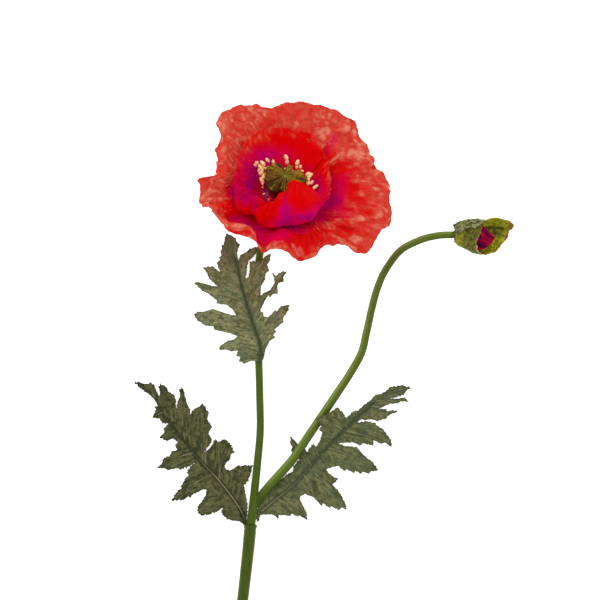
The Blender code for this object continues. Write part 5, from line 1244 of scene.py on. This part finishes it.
def sepal(name, start, ends, first, last, grow, replaced, paint, wrinkle=0.28, flare=0.0, shape=BUD_SHAPE, lower=None, far=None, swing=(46, 84), back=0.0):
    """A sepal: part of the bud's skin between two angles; ends gives how far out it reaches across its width."""
    s = np.linspace(-1, 1, int(84 * FINER))[:, None]
    t = np.linspace(0, 1, int(60 * FINER))[None, :]
    s, t = np.broadcast_arrays(s, t)
    end = np.interp(s, [p[0] for p in ends], [p[1] for p in ends])
    end = end + 0.35 * noise(s * 9, 1.0, start + grow) + 0.25 * noise(s * 23, 2.0, grow)
    begin = start - back * smooth(s, -0.6, 0.5)
    x = begin + (end - begin) * t
    begin = first if lower is None else np.interp(x, [p[0] for p in lower], [p[1] for p in lower])
    turn = np.radians((begin + last) / 2 + s * (last - begin) / 2 + 1.6 * noise(t * 6, s * 2, grow))
    veins = folds(s * 7 + 0.4 * noise(t * 5, s * 3, 2.0), t * 1.4, 3.0 + grow)
    rough = wrinkle * (0.6 * veins + 0.5 * folds(s * 14, t * 9, 5.0) + 0.3 * noise(s * 30, t * 25, 1.0))
    radius = bud_radius(x, shape)
    if far:
        radius = radius + (bud_radius(x, far) - radius) * smooth(np.degrees(turn), *swing)
    points = in_bud(x, radius + grow * smooth(x, 0.0, 2.4) + rough * smooth(t, 0.02, 0.2) + flare * smooth(t, 0.55, 1.0), turn)
    points[..., 2] = np.maximum(points[..., 2], 0.3 * MM)
    masks = dict(grey=0.0, lime=0.0, brown=0.0, shade=0.0, torn=0.0)
    masks.update(paint(s, t, x, veins))
    obj = Mesh(name).add(points, **masks).object()
    thicken(obj, 0.30)
    return put(obj, replaced, sepal_look)


sepal("bud_sepal_front_torn", 0.8, [(-1, 18.6), (-.6, 18.4), (-.34, 16.8), (-.2, 15.0), (.16, 14.2), (.455, 15.3), (.65, 16.8), (.84, 16.4), (1, 16.4)],
      -128, 48, -0.30, ["bud_sepal_front"],
      lambda s, t, x, veins: dict(torn=smooth(t, 0.955, 0.985) * np.clip(0.62 + 0.5 * noise(s * 16, 1.0), 0, 1) * (1 - 0.8 * smooth(s, 0.3, 0.5)), shade=0.30 * (1 - smooth(t, 0.0, 0.10)) + 0.30 * smooth(s, 0.35, 0.8),
                                  lime=0.35 * smooth(-t, -0.5, -0.1) + 0.25 * smooth(-s, 0.2, 0.9), grey=0.15 * smooth(-s, 0.5, 1.0)))
sepal("bud_sepal_top_flap", 0.6, [(-1, 19.4), (-.6, 19.6), (-.2, 18.9), (.05, 17.6), (.3, 16.0), (1, 14.5)],
      8, 118, 0.28, ["bud_sepal_top"],
      lambda s, t, x, veins: dict(grey=0.75 + 0.25 * noise(s * 5, t * 5, 3.0), shade=0.45 * (1 - smooth(t, 0.0, 0.2)) + 0.75 * np.clip(-veins, 0, 1) + 0.25 * smooth(s, 0.0, 0.5),
                                  torn=0.30 * (1 - smooth(s + 1, 0.0, 0.05))), wrinkle=0.55, back=1.3,
      lower=[(-0.5, 4), (2, 8), (4, 15), (7.6, 28.7), (10, 32), (12.8, 23), (14.8, 32), (16.8, 43), (19.4, 57)], far=FLAP)
sepal("bud_sepal_back_spoon", 0.9, [(-1, 36.6), (-.934, 37.0), (-.7, 37.3), (-.42, 36.7), (-.26, 35.2), (-.187, 34.6), (-.1, 34.9), (.143, 33.9), (.385, 30.4), (.59, 29.1), (.79, 26.6), (.88, 24.2), (1, 21.4)],
      84, 266, -0.35, ["bud_sepal_back"],
      lambda s, t, x, veins: dict(lime=0.95, brown=0.9 * smooth(x + 1.5 * noise(s * 9, x / 3, 1.0), 30.0, 36.5) * smooth(0.6 - s, 0.0, 0.5)
                                  + 0.45 * smooth(t, 0.93, 1.0) * smooth(s + 0.4, 0.0, 0.3),
                                  shade=0.90 * np.exp(-((s + 0.28) / 0.09) ** 2) * (1 - smooth(x, 31, 36)) + 0.60 * np.exp(-((s + 0.05) / 0.12) ** 2) * (1 - smooth(x, 29, 34))
                                  + 0.3 * np.clip(-veins, 0, 1)), wrinkle=0.36, flare=0.25, shape=SPOON_NEAR, far=SPOON, swing=(238, 190))

turn = np.linspace(0, 2 * math.pi, int(90 * FINE), endpoint=False)[None, :]
rows = np.array(through([(1.7, 0.05, 0), (1.6, 3.5, 0), (1.3, 4.4, 0), (0.9, 4.4, 0), (0.6, 3.6, 0), (0.3, 2.4, 0), (-0.3, 2.1, 0), (-0.8, 1.9, 0), (-1.0, 0.05, 0)], int(36 * FINE)))
cuff = in_bud(rows[:, :1] + 0 * turn, rows[:, 1:2] * (1 + 0.03 * np.cos(9 * turn)), turn)
put(Mesh("bud_receptacle_cuff").add(cuff, wrap=True, flip=True, grey=0.3, lime=0.0, brown=0.0, shade=0.35, torn=0.0).object(),
    ["bud_receptacle"], sepal_look)

rows = np.array(through([(1.5, 0.1, 0), (2.4, 2.6, 0), (4.5, 4.8, 0), (8.5, 6.7, 0), (12.5, 7.6, 0), (16.8, 7.3, 0), (19.0, 6.4, 0), (21.0, 5.1, 0),
                         (23.4, 3.1, 0), (25.0, 1.3, 0), (25.6, 0.1, 0)], int(80 * FINER)))
turn = np.linspace(0, 2 * math.pi, int(180 * FINER), endpoint=False)[None, :]
xx, rr = rows[:, :1], rows[:, 1:2]
swirl = turn + xx / 16
pleat = folds(swirl * 2.2, xx / 14, 3.0)
crease = folds(swirl * 5.0, xx / 5, 8.0)
rr = rr * (1 + 0.09 * pleat + 0.05 * crease + 0.02 * noise(swirl * 14, xx))
furl = in_bud(xx + 0 * turn, rr, turn)
furl = furl - np.array(B_SIDE) * MM * np.interp(xx, [8, 12, 16.8, 21, 23.4, 25.6], [0, 0.4, 0.95, 1.7, 1.5, 0.6])[..., None]
fx, fy = squares(furl)
dusk = 0.55 * np.exp(-((fx - 483.5) / 5.0) ** 2 - ((fy - 244.0) / 4.0) ** 2) + 0.45 * np.exp(-((fx - 488.0) / 2.0) ** 2 - ((fy - 232.5) / 4.5) ** 2)
bud_petal_look = petal_material("bud_petal_crepe", (0.520, 0.001, 0.014), (0.62, 0.01, 0.04), (0.72, 0.04, 0.10), (0.235, 0.001, 0.030),
                                (0.120, 0.001, 0.045), (0.055, 0.001, 0.030))
# Painted shade and highlight on the furled petals: darker purple in the pleat valleys, the highlight colour on the
# pleat crests.
put(Mesh("bud_petals_furled").add(furl, wrap=True, flip=True, rim=0.15 + 0 * rr, foot=np.clip(0.58 - 0.5 * pleat - 0.25 * crease + dusk, 0, 1),
                                  crest=np.clip(pleat, 0, 1), edge=0.0, bright=0.0).object(), ["bud_petals"], bud_petal_look)

# ==================================================================== the stage
floor_mesh = bpy.data.meshes.new("table")
floor_mesh.from_pydata([(-6, -6, 0), (6, -6, 0), (6, 6, 0), (-6, 6, 0)], [], [(0, 1, 2, 3)])
table = new_object("table", floor_mesh)
white, wt, wb = material("table_white")
speck = noise_of(wt, place(wt), 40.0, 2.0, 0.5)
wt.links.new(blend(wt, speck, (0.80, 0.80, 0.80), (0.82, 0.82, 0.82)), wb.inputs["Base Color"])
wb.inputs["Roughness"].default_value = 0.9
wb.inputs["Specular IOR Level"].default_value = 0.05
wb.inputs["Emission Color"].default_value = (1.0, 1.0, 1.0, 1.0)
wb.inputs["Emission Strength"].default_value = 0.75
floor_mesh.materials.append(white)

world = bpy.data.worlds.new("studio")
scene.world = world
world.use_nodes = True
world.node_tree.nodes["Background"].inputs["Color"].default_value = (1.0, 1.0, 1.0, 1.0)
world.node_tree.nodes["Background"].inputs["Strength"].default_value = 0.84


def lamp(name, at, aim, size, power):
    data = bpy.data.lights.new(name, "AREA")
    data.shape = "DISK"
    data.size = size
    data.energy = power
    obj = bpy.data.objects.new(name, data)
    obj.location = at
    obj.rotation_euler = (Vector(aim) - Vector(at)).to_track_quat("-Z", "Y").to_euler()
    scene.collection.objects.link(obj)


lamp("key", (-0.50, 0.78, 1.45), (0.0, 0.05, 0.0), 0.95, 7.4)
lamp("fill", (0.9, -0.5, 1.2), (0.0, 0.0, 0.0), 1.0, 2.0)

camera = bpy.data.cameras.new("camera")
camera.sensor_width = 36.0
camera.lens = 36.0 * SIGHT / (600 * GRID)
camera.clip_start, camera.clip_end = 0.05, 50.0
eye = bpy.data.objects.new("camera", camera)
eye.location = ((300 - PLAN_X0) * GRID, (PLAN_Y0 - 300) * GRID, SIGHT)
eye.rotation_euler = (0.0, 0.0, 0.0)
scene.collection.objects.link(eye)
scene.camera = eye
scene.view_settings.view_transform = "Standard"
scene.view_settings.look = "None"
